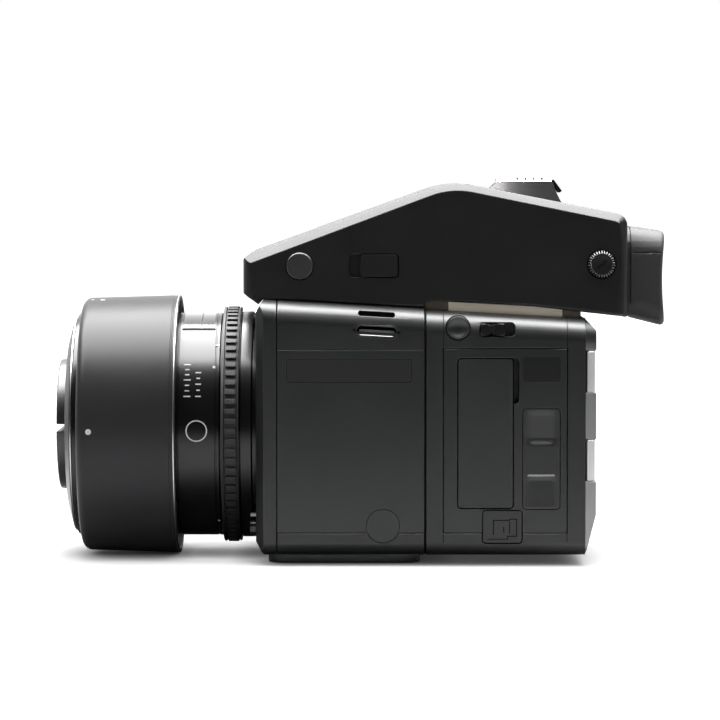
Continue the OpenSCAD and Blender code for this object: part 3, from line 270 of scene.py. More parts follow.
# turns a wire of (along, radius) points about an axis through a point
def turnAbout(points, centre, way, rounds, steps):
    bm = bmesh.new()
    way = Vector(way)
    out = Vector((0, 0, 1)) if abs(way.z) < 0.5 else Vector((0, 1, 0))
    wire = [bm.verts.new(Vector(centre) + way * along + out * radius) for along, radius in points]
    for one, two in zip(wire, wire[1:]):
        bm.edges.new((one, two))
    if points[0][1] > 0 and points[-1][1] > 0:
        bm.edges.new((wire[-1], wire[0]))
    for number, (width, segments) in (rounds or {}).items():
        bmesh.ops.bevel(bm, geom=[wire[number]], offset=width, segments=segments, profile=0.5, affect="VERTICES",
                        material=-1)
    bmesh.ops.spin(bm, geom=bm.verts[:] + bm.edges[:], cent=centre, axis=way, dvec=(0, 0, 0), angle=math.tau,
                   steps=steps, use_merge=True)
    bmesh.ops.remove_doubles(bm, verts=bm.verts, dist=1e-4)
    bmesh.ops.dissolve_degenerate(bm, edges=bm.edges, dist=1e-4)
    bmesh.ops.recalc_face_normals(bm, faces=bm.faces)
    return bm


def onLens(points, rounds, steps):
    return turnAbout(points, lensAxis, (1, 0, 0), rounds, steps)


# turns a mesh about the origin, then moves it
def placeMesh(bm, degrees, axis, shift):
    turn = Matrix.Rotation(math.radians(degrees), 3, axis)
    bmesh.ops.rotate(bm, cent=(0, 0, 0), matrix=turn, verts=bm.verts)
    bmesh.ops.translate(bm, vec=shift, verts=bm.verts)
    return bm


# a flat mark bent round the lens: x and length along the axis, angle up from the left side
def lensMark(x, angle, length, height, radius, lift=0.04, rounding=0.2):
    bm = makeBar((x - length / 2, -radius - lift, -height / 2), (x + length / 2, 0.2 - radius, height / 2),
                 min(length, height) * rounding, 0)
    return placeMesh(bm, -angle, "X", lensAxis)


# a rounded bar between two corners, with its edges broken
def makeBar(low, high, rounding=0.0, edge=0.1, along="y", segments=4):
    bm = bmesh.new()
    bmesh.ops.create_cube(bm, size=1)
    low, high = Vector(low), Vector(high)
    bmesh.ops.scale(bm, vec=high - low, verts=bm.verts)
    bmesh.ops.translate(bm, vec=(low + high) / 2, verts=bm.verts)
    if rounding:
        axis = "xyz".index(along)
        corners = [e for e in bm.edges if abs((e.verts[0].co - e.verts[1].co).normalized()[axis]) > 0.9]
        bevelEdges(bm, corners, rounding, segments)
    if edge:
        bevelEdges(bm, sharpEdges(bm, 50), edge)
    return bm


# a rounded bar that is open through its middle
def makeFrame(low, high, rounding, width, edge=0.05, along="y", segments=4):
    bm = makeBar(low, high, rounding, 0, along, segments)
    faces = [f for f in bm.faces if abs(f.normal["xyz".index(along)]) > 0.9]
    bmesh.ops.inset_individual(bm, faces=faces, thickness=width)
    loops = [e for f in faces for e in f.edges]
    bmesh.ops.delete(bm, geom=faces, context="FACES_ONLY")
    bmesh.ops.bridge_loops(bm, edges=loops)
    bmesh.ops.recalc_face_normals(bm, faces=bm.faces)
    bevelEdges(bm, sharpEdges(bm, 50), edge)
    return bm


# adds the other meshes to the first one
def joinMeshes(bm, *others):
    for other in others:
        carrier = bpy.data.meshes.new("carrier")
        other.to_mesh(carrier)
        other.free()
        bm.from_mesh(carrier)
        bpy.data.meshes.remove(carrier)
    return bm


# turns a sheet's faces to look one way, then gives it its wall
def thickenSheet(bm, way, thickness):
    bmesh.ops.recalc_face_normals(bm, faces=bm.faces)
    if sum(f.normal.dot(Vector(way)) for f in bm.faces) < 0:
        bmesh.ops.reverse_faces(bm, faces=bm.faces)
    bmesh.ops.solidify(bm, geom=bm.faces[:], thickness=thickness)


# copies of a mesh set evenly round an axis, which take its place
def ringOf(bm, count, axis, centre=(0, 0, 0)):
    copies = [bm.copy() for number in range(count)]
    bm.free()
    for number, copy in enumerate(copies):
        turn = Matrix.Rotation(math.tau * number / count, 3, axis)
        bmesh.ops.rotate(copy, cent=centre, matrix=turn, verts=copy.verts)
    return copies


# nodes whose shape is right keep it, with broken edges and their finish
dressTable = {
    "front_plate": ("bodyPaint", 0.35, {"cuts": ((1, 0.0), (2, 45.5))}),
    "left_cover": ("panelPaint", 0.10), "top_cover": ("bodyPaint", 0.22), "bottom_cover": ("bodyPaint", 0.22),
    "back_housing": ("bodyPaint", 0.20), "back_panel": ("panelPaint", 0.16, {"cuts": ((0, 48.0), (0, 67.0))}),
    "finder_housing": ("finderPaint", 0.30,
                       {"wide": (-1, 95, 0.92, 3), "cuts": ((0, -15.1), (0, 10.4), (0, 87.7))}),
    "finder_latch": ("finderPaint", 0.25), "side_plug": ("panelPaint", 0.14),
    "back_battery": ("doorPlastic", 0.30), "port_flap": ("doorPlastic", 0.20), "back_bezel": ("bezelPaint", 0.14),
    "screen_glass": ("displayGlass", 0.15), "lens_release": ("controlBlack", 0.40),
    "mount_ring": ("barrelBlack", 0.15, {"second": ("turnedMetalAndGlint", (-1, 0, 0))}),
    "lens_bayonet": ("barrelBlack", 0.20), "focus_ring": ("barrelBlack", 0.15),
    "tripod_plate": ("chassisMetal", 0.40), "accessory_shoe": ("shoeMetal", 0.12, {"wide": (1, 131, 1.15, 1)}),
    "grip_shell": ("gripPlastic", 0.40, {"cuts": ((1, 80.0),)}), "grip_door": ("gripPlastic", 0.40),
    "grip_rubber": ("gripRubber", 0.30), "top_display": ("displayGlass", 0.20),
    "power_collar": ("controlBlack", 0.30),
}
for node, (finishName, width, *more) in dressTable.items():
    dressNode(node, finishName, width, **(more[0] if more else {}))
print("dressed nodes:", len(dressTable))

# inner nodes and small ones keep their own mesh
keptTable = {
    "shutterBlack": ("mirror_box", "mirror_carrier", "shutter_frame", "shutter_blade_low", "shutter_blade_mid",
                     "shutter_blade_high"),
    "lensGlass": ("rear_glass", "front_glass", "prism_glass", "eyepiece_lens"),
    "controlBlack": ("front_dial", "rear_dial"), "turnedMetalAndGlint": ("screws",), "mirrorCoat": ("mirror_glass",),
    "groundScreen": ("focusing_screen",), "doorPlastic": ("grip_battery",), "barrelBlack": ("front_cell",),
    "sensorGlass": ("sensor",), "circuitGreen": ("sensor_board",),
}
for finishName, nodes in keptTable.items():
    for node in nodes:
        mesh = cadNodes[node].data
        mesh.materials.clear()
        mesh.materials.append(finishes[finishName])
print("kept nodes:", sum(map(len, keptTable.values())))

# reversed hood with a rolled nose, a groove near its rim, and a bright metal ring round it that is a painted glint
# on the rim's edge
hoodSpec = {"front": -91.5, "rear": -57.5, "frontRadius": 44.2, "rearRadius": 45.2, "wall": 1.8, "flange": 4.5,
            "bore": 39.3, "nose": 3.0, "groove": (2.2, 2.0, 1.7, 1.5), "grooveDepth": 0.22,
            "rimGlint": ((0.75, -0.06), (0.70, 0.03), (0.40, 0.03), (0.35, -0.06)),
            "marks": ((-86.9, 0, 2.0, 2.0, 0, 0.05, 0.49), (-84.4, 80, 1.6, 1.3, 0), (-87.9, 81, 1.0, 1.0, -0.02))}


def makeHood(s):
    front, rear = s["front"], s["rear"]
    slope = (s["rearRadius"] - s["frontRadius"]) / (rear - front)
    skin = lambda x: s["frontRadius"] + slope * (x - front)
    start, down, up, stop = (rear - back for back in s["groove"])
    sunk = skin(rear) - s["grooveDepth"]
    points = [(front, s["bore"]), (front, s["frontRadius"]), (start, skin(start)), (down, sunk), (up, sunk),
              (stop, skin(stop)), (rear, skin(rear)), (rear, skin(rear) - s["wall"]),
              (front + s["flange"], skin(front) - s["wall"]), (front + s["flange"], s["bore"])]
    bm = onLens(points, {1: (s["nose"], 8), 6: (0.35, 3), 7: (0.3, 2), 0: (0.3, 2)}, 192)
    finishPiece("hood_shell", bm, ["hoodBlack"], "hood", ("hood",))
    marks = [lensMark(x, angle, length, height, skin(x) + proud, *more)
             for x, angle, length, height, proud, *more in s["marks"]]
    finishPiece("hood_marks", joinMeshes(*marks), ["markWhite"], "hood", ())
    # painted glint: a thin bright metal ring stands in for the highlight along the rim's edge
    rim = onLens([(rear - back, skin(rear) + proud) for back, proud in s["rimGlint"]], None, 192)
    finishPiece("hood_rim_painted_glint", rim, ["turnedMetalAndGlint"], "hood", ())


makeHood(hoodSpec)

# cap with a stepped rim and a shallow dish round its tabs, and a bright metal ring on its edge that is a painted
# glint
capSpec = {"front": -96.2, "rear": -93.3, "plugRear": -91.0, "radius": 37.5, "plug": 35.7, "plugBore": 31.0,
           "flat": 30.0, "dish": (25.6, 26.4), "dishDepth": 0.5, "floor": (0.6, 30.0),
           "line": ((0.50, -0.12), (0.50, 0.05), (0.22, 0.05), (0.22, -0.12))}


def makeCap(s):
    front, rear, radius = s["front"], s["rear"], s["radius"]
    sunk, floor = front + s["dishDepth"], rear + s["floor"][0]
    points = [(sunk, 0), (sunk, s["dish"][0]), (front, s["dish"][1]), (front, s["flat"]),
              (rear - 0.9, radius - 0.1), (rear - 0.55, radius), (rear, radius), (rear, s["plug"]),
              (s["plugRear"], s["plug"]), (s["plugRear"], s["plugBore"]), (floor, s["floor"][1]), (floor, 0)]
    bm = onLens(points, {3: (0.8, 3), 4: (0.5, 3), 6: (0.2, 2)}, 144)
    finishPiece("cap_disc", bm, ["capBlack"], "lens_cap", ("lens_cap",))
    # painted glint: a thin bright metal ring stands in for the highlight on the cap's edge
    line = onLens([(rear - back, radius + proud) for back, proud in s["line"]], None, 144)
    finishPiece("cap_edge_painted_glint", line, ["turnedMetalAndGlint"], "lens_cap", ())


makeCap(capSpec)

# the two D-shaped tabs, each with finger ridges beside the slot
tabSpec = {"radius": 23.0, "front": -99.6, "rear": -96.5, "gap": 2.4, "ridges": 5, "firstRidge": 2.2,
           "pitch": 2.6, "ridgeOut": 0.22, "ridgeHalf": 0.5}


def makeTab(side, body, s):
    bm = onLens([(s["front"], 0), (s["front"], s["radius"] - 0.4), (s["rear"], s["radius"]), (s["rear"], 0)],
                {1: (0.5, 3)}, 96)
    edge = lensAxis + Vector((0, 0, side * s["gap"] / 2))
    cut = bmesh.ops.bisect_plane(bm, geom=bm.verts[:] + bm.edges[:] + bm.faces[:], plane_co=edge,
                                 plane_no=(0, 0, -side), clear_outer=True)
    rim = [e for e in cut["geom_cut"] if isinstance(e, bmesh.types.BMEdge)]
    bmesh.ops.edgeloop_fill(bm, edges=rim)
    bmesh.ops.recalc_face_normals(bm, faces=bm.faces)
    bevelEdges(bm, sharpEdges(bm, 60), 0.25)
    for number in range(s["ridges"]):
        z = lensAxis.z + side * (s["gap"] / 2 + s["firstRidge"] + number * s["pitch"])
        reach = math.sqrt(s["radius"] ** 2 - (z - lensAxis.z) ** 2) - 3.0
        low, high = s["front"] - s["ridgeOut"], s["front"] + 0.3
        joinMeshes(bm, makeBar((low, -reach, z - s["ridgeHalf"]), (high, reach, z + s["ridgeHalf"]), 0, 0.18))
    finishPiece("tab_" + body, bm, ["capBlack"], body, (body,))


makeTab(1, "cap_tab_upper", tabSpec)
makeTab(-1, "cap_tab_lower", tabSpec)
print("hood, cap and tabs made")

# barrel with its filter thread, grooves, index ticks and the distance window on top
barrelSpec = {"radius": 39.0, "sleeve": 35.6, "bore": 33.5, "rear": -42.6, "sleeveRear": -35.5, "front": -93.0,
              "filter": 36.0, "filterLength": 3.0, "windowX": (-55.6, -45.0), "windowAngle": 28, "split": -49.4,
              "rearGroove": ((1.1, 0), (1.25, 0.3), (1.55, 0.3), (1.7, 0)),
              "hoodGroove": ((-56.6, 0), (-56.75, 0.25), (-57.0, 0.25), (-57.15, 0)),
              "thread": (4, 0.65, 0.32, 0.28), "index": (-43.6, 47.4, 1.5, 0.5), "rowStart": 17.5, "tick": 0.42,
              "rows": ((-53.7, 7, 2.9, 3, (2.4, 1.5)), (-49.9, 5, 3.2, 2, (1.9, 1.2))),
              "dots": ((-44.6, 33.5, 0.9, 0.9), (-43.4, -55.6, 0.8, 0.8)), "ringX": -50.4, "ring": (3.3, 3.7)}


def makeBarrel(s):
    r, front, rear = s["radius"], s["front"], s["rear"]
    filterRear = front + s["filterLength"]
    points = [(s["sleeveRear"], s["bore"]), (s["sleeveRear"], s["sleeve"]), (rear, s["sleeve"]), (rear, r - 0.25),
              (rear - 0.25, r)]
    points += [(rear - back, r - sunk) for back, sunk in s["rearGroove"]]
    points += [(x, r - sunk) for x, sunk in s["hoodGroove"]]
    points += [(filterRear, r), (front, r - 0.3), (front, s["filter"])]
    turns, pitch, crest, depth = s["thread"]
    for turn in range(turns):  # filter thread
        x = front + 0.2 + turn * pitch
        points += [(x, s["filter"]), (x + crest, s["filter"] + depth)]
    points += [(filterRear, s["filter"]), (filterRear, s["bore"])]
    bm = onLens(points, {14: (0.2, 2)}, 192)
    finishPiece("barrel_shell", bm, ["barrelBlack"], "camera", ("lens_barrel",))
    x0, x1 = s["windowX"]
    for number, (a, b) in enumerate(((x0, s["split"] - 0.25), (s["split"] + 0.25, x1))):
        pane = bmesh.new()
        ends = [pane.verts.new((x, 0, lensAxis.z + r + 0.12)) for x in (a, b)]
        edge = pane.edges.new(ends)
        start = math.radians(s["windowAngle"])
        bmesh.ops.rotate(pane, cent=lensAxis, matrix=Matrix.Rotation(start, 3, "X"), verts=ends)
        bmesh.ops.spin(pane, geom=ends + [edge], cent=lensAxis, axis=(1, 0, 0), dvec=(0, 0, 0), angle=-2 * start,
                       steps=20)
        thickenSheet(pane, (0, 0, 1), 0.3)
        finishPiece("distance_window_" + str(number), pane, ["windowGlass"], "camera", ())
    sills = [lensMark((x0 + x1) / 2, 90 + side * (s["windowAngle"] + 1.6), x1 - x0 + 1.0, 1.0, r, 0.10)
             for side in (-1, 1)]
    finishPiece("window_sills", joinMeshes(*sills), ["shadowBlack"], "camera", ())
    ticks = lensMark(*s["index"], r)  # beside the focus ring
    for x, count, pitch, every, (long, short) in s["rows"]:
        for number in range(count):
            length = short if number % every else long
            joinMeshes(ticks, lensMark(x, s["rowStart"] + number * pitch, length, s["tick"], r))
    joinMeshes(ticks, *(lensMark(*dot, r) for dot in s["dots"]))
    inner, outer = s["ring"]
    ring = turnAbout([(-0.02, inner), (-0.02, outer), (0.3, outer), (0.3, inner)], (0, 0, 0), (0, 1, 0), None, 48)
    for v in ring.verts:  # lies round the barrel
        turn, out = v.co.z / r, r + 0.03 - v.co.y
        v.co = (v.co.x + s["ringX"], -out * math.cos(turn), lensAxis.z + out * math.sin(turn))
    finishPiece("barrel_marks", joinMeshes(ticks, ring), ["markWhite"], "camera", ())


makeBarrel(barrelSpec)

# white mark low on the lens mount
indexSpec = {"low": (-32.2, -30.6, 15.5), "high": (-29.9, -27.6, 16.6), "edge": 0.12}
releaseIndex = makeBar(indexSpec["low"], indexSpec["high"], 0, indexSpec["edge"])
finishPiece("release_index", releaseIndex, ["markWhite"], "camera", ())

# focus ring's rubber: two smooth lips with rows of rounded pads between them
rubberSpec = {"front": -42.1, "rear": -36.0, "core": 40.05, "floor": 40.45, "lip": 41.1, "top": 41.3, "pads": 76,
              "padX": (-40.65, -37.0), "padWidth": 1.8}


def makeFocusRubber(s):
    points = [(s["front"], s["core"]), (s["front"], s["lip"]), (s["padX"][0] - 0.55, s["lip"]),
              (s["padX"][0] - 0.30, s["floor"]), (s["padX"][1] + 0.30, s["floor"]), (s["padX"][1] + 0.55, s["lip"]),
              (s["rear"], s["lip"]), (s["rear"], s["core"])]
    bm = onLens(points, {1: (0.35, 3), 6: (0.35, 3)}, 228)
    pad = makeBar((s["padX"][0], -s["padWidth"] / 2, lensAxis.z + s["floor"] - 0.2),
                  (s["padX"][1], s["padWidth"] / 2, lensAxis.z + s["top"]), 0.3, 0.22, "z", 3)
    joinMeshes(bm, *ringOf(pad, s["pads"], "X", lensAxis))
    finishPiece("focus_grip", bm, ["rubberBlack"], "focus_ring", ("focus_rubber",))


makeFocusRubber(rubberSpec)
print("barrel and focus ring made")

# soft eyecup with a flared foot, a hollow rear edge, a crease and a flange against the finder
cupSpec = {"front": 96.7, "rear": 110.6, "half": 28.0, "frontZ": (84.1, 115.2), "rearZ": (80.6, 113.5),
           "corner": 8.0, "rim": 5.0, "window": (20.0, 11.0), "eyeZ": 101.0, "hollow": 1.3, "creaseZ": 106.1,
           "crease": 0.45, "flange": 98.2, "sink": 0.4, "edge": 2.1, "loopsX": (100.4, 102.0, 104.0, 106.0, 108.0),
           "loopsZ": (86, 89, 92, 95, 98, 101, 104, 108, 110)}


def makeEyecup(s):
    bm = bmesh.new()
    bmesh.ops.create_cube(bm, size=1)
    for v in bm.verts:
        rear = v.co.x > 0
        low, high = s["rearZ"] if rear else s["frontZ"]
        v.co = (s["rear"] if rear else s["front"], math.copysign(s["half"], v.co.y), high if v.co.z > 0 else low)
    long = [e for e in bm.edges if abs(e.verts[0].co.x - e.verts[1].co.x) > 5]
    bevelEdges(bm, long, s["corner"], 10)
    ends = [f for f in bm.faces if abs(f.normal.x) > 0.9 and len(f.verts) > 8]
    bmesh.ops.inset_individual(bm, faces=ends, thickness=s["rim"])
    loops = []
    for f in ends:  # the window's two rims
        middle = f.calc_center_median()
        tall = max(abs(v.co.z - middle.z) for v in f.verts)
        for v in f.verts:
            v.co.y = s["window"][0] * v.co.y / (s["half"] - s["rim"])
            v.co.z = s["eyeZ"] + s["window"][1] * (v.co.z - middle.z) / tall
        loops += f.edges[:]
    bmesh.ops.delete(bm, geom=ends, context="FACES_ONLY")
    bmesh.ops.bridge_loops(bm, edges=loops)
    bmesh.ops.recalc_face_normals(bm, faces=bm.faces)
    rims = [e for e in sharpEdges(bm, 50) if min(v.co.x for v in e.verts) > s["rear"] - 0.1]
    outer = [e for e in rims if abs(e.verts[0].co.y) > s["window"][0] + 1 or
             abs(e.verts[0].co.z - s["eyeZ"]) > s["window"][1] + 1]
    bevelEdges(bm, outer, s["edge"], 5)
    creaseZ, crease = s["creaseZ"], s["crease"]
    sliceMesh(bm, 0, (s["flange"], s["flange"] + 0.3) + s["loopsX"])
    sliceMesh(bm, 2, (creaseZ - crease, creaseZ, creaseZ + crease) + s["loopsZ"])
    middle, reach = (s["rearZ"][0] + s["rearZ"][1]) / 2, (s["rearZ"][1] - s["rearZ"][0]) / 2
    for v in bm.verts:
        back = (v.co.x - s["front"]) / (s["rear"] - s["front"])
        onSide = abs(v.co.y) > s["half"] - 0.6
        if onSide and abs(v.co.z - creaseZ) < 0.05 and s["flange"] + 1 < v.co.x < s["rear"] - 1.2:
            v.co.y -= math.copysign(crease, v.co.y)
        if v.co.x < s["flange"] + 0.05 and (onSide or abs(v.co.z - middle) > s["window"][1] + 2):
            v.co.y -= math.copysign(s["sink"], v.co.y)
            v.co.z -= math.copysign(s["sink"], v.co.z - middle)
        v.co.x -= s["hollow"] * back ** 4 * max(0.0, 1 - ((v.co.z - middle) / reach) ** 2)
    finishPiece("eyecup_rubber", bm, ["rubberBlack"], "camera", ("eyecup",), 40)


makeEyecup(cupSpec)

# diopter knob: a dished face, a turning slot drawn as a near-black bar of painted shade, and a ring of teeth round
# it
knobSpec = {"x": 87.7, "z": 102.4, "out": -41.2, "inner": -38.1, "radius": 4.66, "face": 3.65, "teeth": 30,
            "toothWidth": 0.4, "cone": 0.95, "slot": (4.2, 0.8), "slotTurn": 36,
            "dish": ((0.28, 0), (0.24, 2.0), (0.06, 3.0), (0, 3.4))}


def makeKnob(s):
    depth, centre = s["inner"] - s["out"], Vector((s["x"], 0, s["z"]))
    points = [*s["dish"], (0, s["face"]), (depth, s["face"]), (depth, 0)]
    face = turnAbout(points, (s["x"], s["out"], s["z"]), (0, 1, 0), {4: (0.15, 2)}, 72)
    finishPiece("knob_face", face, ["finderPaint"], "diopter_knob", ("diopter_knob",), 24)
    tooth = makeBar((-s["toothWidth"] / 2, s["out"] + 0.12, s["face"] - 0.3),
                    (s["toothWidth"] / 2, s["inner"], s["radius"]), 0, 0)
    rim = [e for e in tooth.edges if all(v.co.y < s["out"] + 0.2 and v.co.z > s["face"] for v in e.verts)]
    bevelEdges(tooth, rim, s["cone"], 1)
    bevelEdges(tooth, sharpEdges(tooth), 0.06, 1)
    teeth = joinMeshes(*ringOf(tooth, s["teeth"], "Y"))
    bmesh.ops.translate(teeth, vec=centre, verts=teeth.verts)
    finishPiece("knob_teeth", teeth, ["chassisMetal"], "diopter_knob", (), 24)
    # painted shade: the slot is a near-black bar standing on the dished face, dark where a real slot would be in
    # shade
    length, width = s["slot"]
    slot = makeBar((-length / 2, s["out"] + 0.10, -width / 2), (length / 2, s["out"] + 0.5, width / 2), 0.3, 0.05)
    placeMesh(slot, -s["slotTurn"], "Y", centre)
    finishPiece("knob_slot_painted_shade", slot, ["shadowBlack"], "diopter_knob", ())


makeKnob(knobSpec)

# round cap on the finder's side, with a broken rim that stands out a little
sideCapSpec = {"out": 0.30, "rim": 0.45, "depth": 1.7, "round": 0.10}


def makeSideCap(s):
    low, high = (Vector(corner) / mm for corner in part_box("side_cap"))
    radius = (high.x - low.x) / 2
    centre = ((low.x + high.x) / 2, low.y, (low.z + high.z) / 2)
    points = [(s["out"], 0), (s["out"], radius - s["rim"]), (s["out"] - s["rim"], radius), (-s["depth"], radius),
              (-s["depth"], 0)]
    bm = turnAbout(points, centre, (0, -1, 0), {1: (s["round"], 2), 2: (s["round"], 2)}, 96)
    finishPiece("finder_side_cap", bm, ["capPaintAndHighlight"], "camera", ("side_cap",))


makeSideCap(sideCapSpec)
print("eyecup, knob and cap made")

# accessory shoe's flared foot, a contact plate on its tail and four dark notches in its lip
shoeSpec = {"front": 50.4, "lipFront": 53.0, "lipRear": 71.8, "tail": 75.5, "half": 10.7, "lipZ": 130.4,
            "roofX": 36.4, "roofZ": 130.8, "fall": 11.1, "flare": 1.5, "flareRear": 71.8, "notches": 4,
            "notchX": 60.0, "notchPitch": 2.86, "notchY": (0.35, 1.15), "notchZ": (131.2, 131.7), "loops": 1.88,
            "plateFrom": (72.3, 130.9), "plateTo": (75.2, 126.9), "plateInset": 1.6}


def makeShoeFoot(s):
    roof = lambda x: s["roofZ"] - math.tan(math.radians(s["fall"])) * (x - s["roofX"]) - 0.25
    cheeks = []
    for side in (-1, 1):
        near, far = side * (s["half"] - 1.0), side * (s["half"] + 0.03)
        cheek = makeBar((s["lipFront"], min(near, far), 120), (s["lipRear"], max(near, far), s["lipZ"]), 0, 0)
        sliceMesh(cheek, 0, [s["lipFront"] + n * s["loops"] for n in range(1, 10)])
        for v in [v for v in cheek.verts if v.co.z < s["lipZ"] - 1]:
            x = v.co.x
            if abs(v.co.y) > s["half"]:  # the foot spreads towards the front
                v.co.y += side * s["flare"] * (s["flareRear"] - x) / (s["flareRear"] - s["lipFront"])
            if x < s["lipFront"] + 0.01:
                v.co.x = s["front"]
            if x > s["lipRear"] - 0.01:
                v.co.x = s["tail"]
            v.co.z = roof(v.co.x)
        cheeks.append(cheek)
    bm = joinMeshes(*cheeks)
    bmesh.ops.recalc_face_normals(bm, faces=bm.faces)
    finishPiece("shoe_foot", bm, ["skirtMetalAndGlint"], "camera", ())
    (x0, z0), (x1, z1) = s["plateFrom"], s["plateTo"]
    length = math.hypot(x1 - x0, z1 - z0)
    wide = s["half"] - s["plateInset"]
    plate = makeBar((-length / 2, -wide, -0.55), (length / 2, wide, 0.55), 0.2, 0.1)
    placeMesh(plate, math.degrees(math.atan2(z0 - z1, x1 - x0)), "Y", ((x0 + x1) / 2, 0, (z0 + z1) / 2))
    finishPiece("shoe_contact_cover", plate, ["shadowBlack"], "camera", ())
    (y0, y1), (z0, z1) = s["notchY"], s["notchZ"]
    places = [s["notchX"] + number * s["notchPitch"] for number in range(s["notches"])]
    notches = [makeBar((x - 0.5, y0 - s["half"], z0), (x + 0.5, y1 - s["half"], z1), 0, 0.04) for x in places]
    finishPiece("shoe_notches", joinMeshes(*notches), ["chassisMetal"], "camera", ())


makeShoeFoot(shoeSpec)

# release slide of the back: a glossy bar pinched at its front third
slideSpec = {"x": (46.35, 54.65), "z": (78.3, 82.5), "out": -46.4, "inner": -43.3, "pinchX": 50.0,
             "pinch": 1.35, "waist": 0.34, "dip": 0.55, "loops": (-1.3, -0.6, 0, 0.6, 1.3)}


def makeSlide(s):
    bm = makeBar((s["x"][0], s["out"], s["z"][0]), (s["x"][1], s["inner"], s["z"][1]), 0.9, 0)
    sliceMesh(bm, 0, [s["pinchX"] + dx for dx in s["loops"]])
    middle = (s["z"][0] + s["z"][1]) / 2
    for v in bm.verts:
        near = max(0.0, 1 - abs(v.co.x - s["pinchX"]) / s["pinch"])
        v.co.z -= (v.co.z - middle) * s["waist"] * near
        if v.co.y < s["out"] + 0.1:
            v.co.y += s["dip"] * near
    bevelEdges(bm, sharpEdges(bm, 45), 0.3, 3)
    finishPiece("slide_bar", bm, ["controlBlack"], "release_slide", ("release_slide",))


makeSlide(slideSpec)

# round buttons with a dished face: the back's lock and the shutter button on the grip
buttonSpecs = {
    "lock_dish": {"node": "lock_button", "finish": "doorPlastic", "slot": "control_black", "way": (0, 1, 0),
                  "place": (38.7, -46.2, 81.0), "depth": 4.9, "radius": 3.9, "rounds": {5: (0.3, 3)}, "steps": 64,
                  "dish": ((1.05, 0), (0.95, 1.2), (0.66, 2.2), (0.24, 3.0), (0, 3.4))},
    "button_dish": {"node": "shutter_button", "finish": "silverKey", "slot": "silver_key", "way": (0, 0, 1),
                    "place": (-33.0, 80.0, 82.4), "depth": -7.2, "radius": 5.5,
                    "rounds": {4: (0.5, 3), 3: (0.3, 2)}, "steps": 72,
                    "dish": ((-0.75, 0), (-0.68, 1.8), (-0.42, 3.3), (0, 4.6))},
}


def makeButton(name, s):
    points = [*s["dish"], (0, s["radius"]), (s["depth"], s["radius"]), (s["depth"], 0)]
    bm = turnAbout(points, s["place"], s["way"], s["rounds"], s["steps"])
    finishPiece(name, bm, [s["finish"]], s["node"], (s["node"],))


for buttonName, buttonSpec in buttonSpecs.items():
    makeButton(buttonName, buttonSpec)

# card door: an upper scoop that deepens downwards, a lower one that deepens upwards, and a ridge between them
doorSpec = {"x": (60.78, 73.32), "z": (19.48, 53.72), "out": -46.0, "inner": -44.3, "corner": 2.4,
            "scoops": (((61.9, 72.2), (41.2, 53.2), 1.05, 1.9, 1), ((61.8, 72.3), (20.2, 30.7), 0.35, 1.3, -1)),
            "grid": (20, 60), "fall": 0.85, "ridgeX": (62.3, 71.6), "ridgeZ": (30.5, 31.3), "ridgeOut": 0.4}


# how far a point lies inside a rounded rectangle
def insideRound(x, z, spanX, spanZ, corner):
    offX = abs(x - sum(spanX) / 2) - (spanX[1] - spanX[0]) / 2 + corner
    offZ = abs(z - sum(spanZ) / 2) - (spanZ[1] - spanZ[0]) / 2 + corner
    return corner - math.hypot(max(offX, 0), max(offZ, 0)) - min(max(offX, offZ), 0)


def makeCardDoor(s):
    bm = makeBar((s["x"][0], s["out"], s["z"][0]), (s["x"][1], s["inner"], s["z"][1]), 1.2, 0.2)
    for axis, (low, high), parts in ((0, s["x"], s["grid"][0]), (2, s["z"], s["grid"][1])):
        sliceMesh(bm, axis, [low + (high - low) * n / parts for n in range(1, parts)])
    for v in bm.verts:
        if v.co.y > s["out"] + 0.01:
            continue
        for spanX, spanZ, sink, lip, way in s["scoops"]:
            within = insideRound(v.co.x, v.co.z, spanX, spanZ, s["corner"])
            along = (v.co.z - spanZ[0]) / (spanZ[1] - spanZ[0])
            fall = 1 - s["fall"] * (along if way > 0 else 1 - along)
            v.co.y += sink * fall * min(1.0, max(0.0, within / lip))
    finishPiece("card_lid", bm, ["doorPlastic"], "card_door", ("card_door",))
    (x0, x1), (z0, z1) = s["ridgeX"], s["ridgeZ"]
    ridge = makeBar((x0, s["out"] - 0.02, z0), (x1, s["out"] + 0.3, z1))
    for v in ridge.verts:
        if v.co.z < (z0 + z1) / 2 and v.co.y < s["out"] + 0.15:
            v.co.y -= s["ridgeOut"]
    finishPiece("card_ridge", ridge, ["panelPaint"], "card_door", ())


makeCardDoor(doorSpec)

# port flap's picture of a memory card, drawn with plain bars
flapSpec = {"out": -46.03, "inner": -45.9, "width": 0.34, "lines": (
    ((50.8, 15.6), (56.2, 15.6)), ((56.2, 15.6), (56.2, 16.0)), ((56.2, 16.0), (58.6, 16.0)),
    ((58.6, 16.0), (58.6, 10.2)), ((58.6, 10.2), (55.6, 10.2)), ((55.6, 10.2), (55.6, 9.2)),
    ((55.6, 9.2), (49.0, 9.2)), ((50.8, 15.6), (50.8, 10.8)), ((56.3, 15.0), (56.3, 11.2)),
    ((54.3, 13.2), (54.3, 11.6)))}


def makeFlapPicture(s):
    half, bars = s["width"] / 2, []
    for (x0, z0), (x1, z1) in s["lines"]:
        low = (min(x0, x1) - half, s["out"], min(z0, z1) - half)
        high = (max(x0, x1) + half, s["inner"], max(z0, z1) + half)
        bars.append(makeBar(low, high, 0, 0.04))
    finishPiece("flap_picture", joinMeshes(*bars), ["shadowBlack"], "port_flap", ())


makeFlapPicture(flapSpec)

# flush plates over the two bare fields, with a fine groove round the one on the body, and thin lighter lines round
# the body's plate and under the back's one that are painted highlights on their edges
inlaySpec = {"body": ((-19.55, 23.15), (62.35, 70.55)), "back": ((60.75, 73.45), (62.65, 71.1)), "corner": 1.1,
             "proud": 0.03, "groove": 0.22, "line": 0.16}


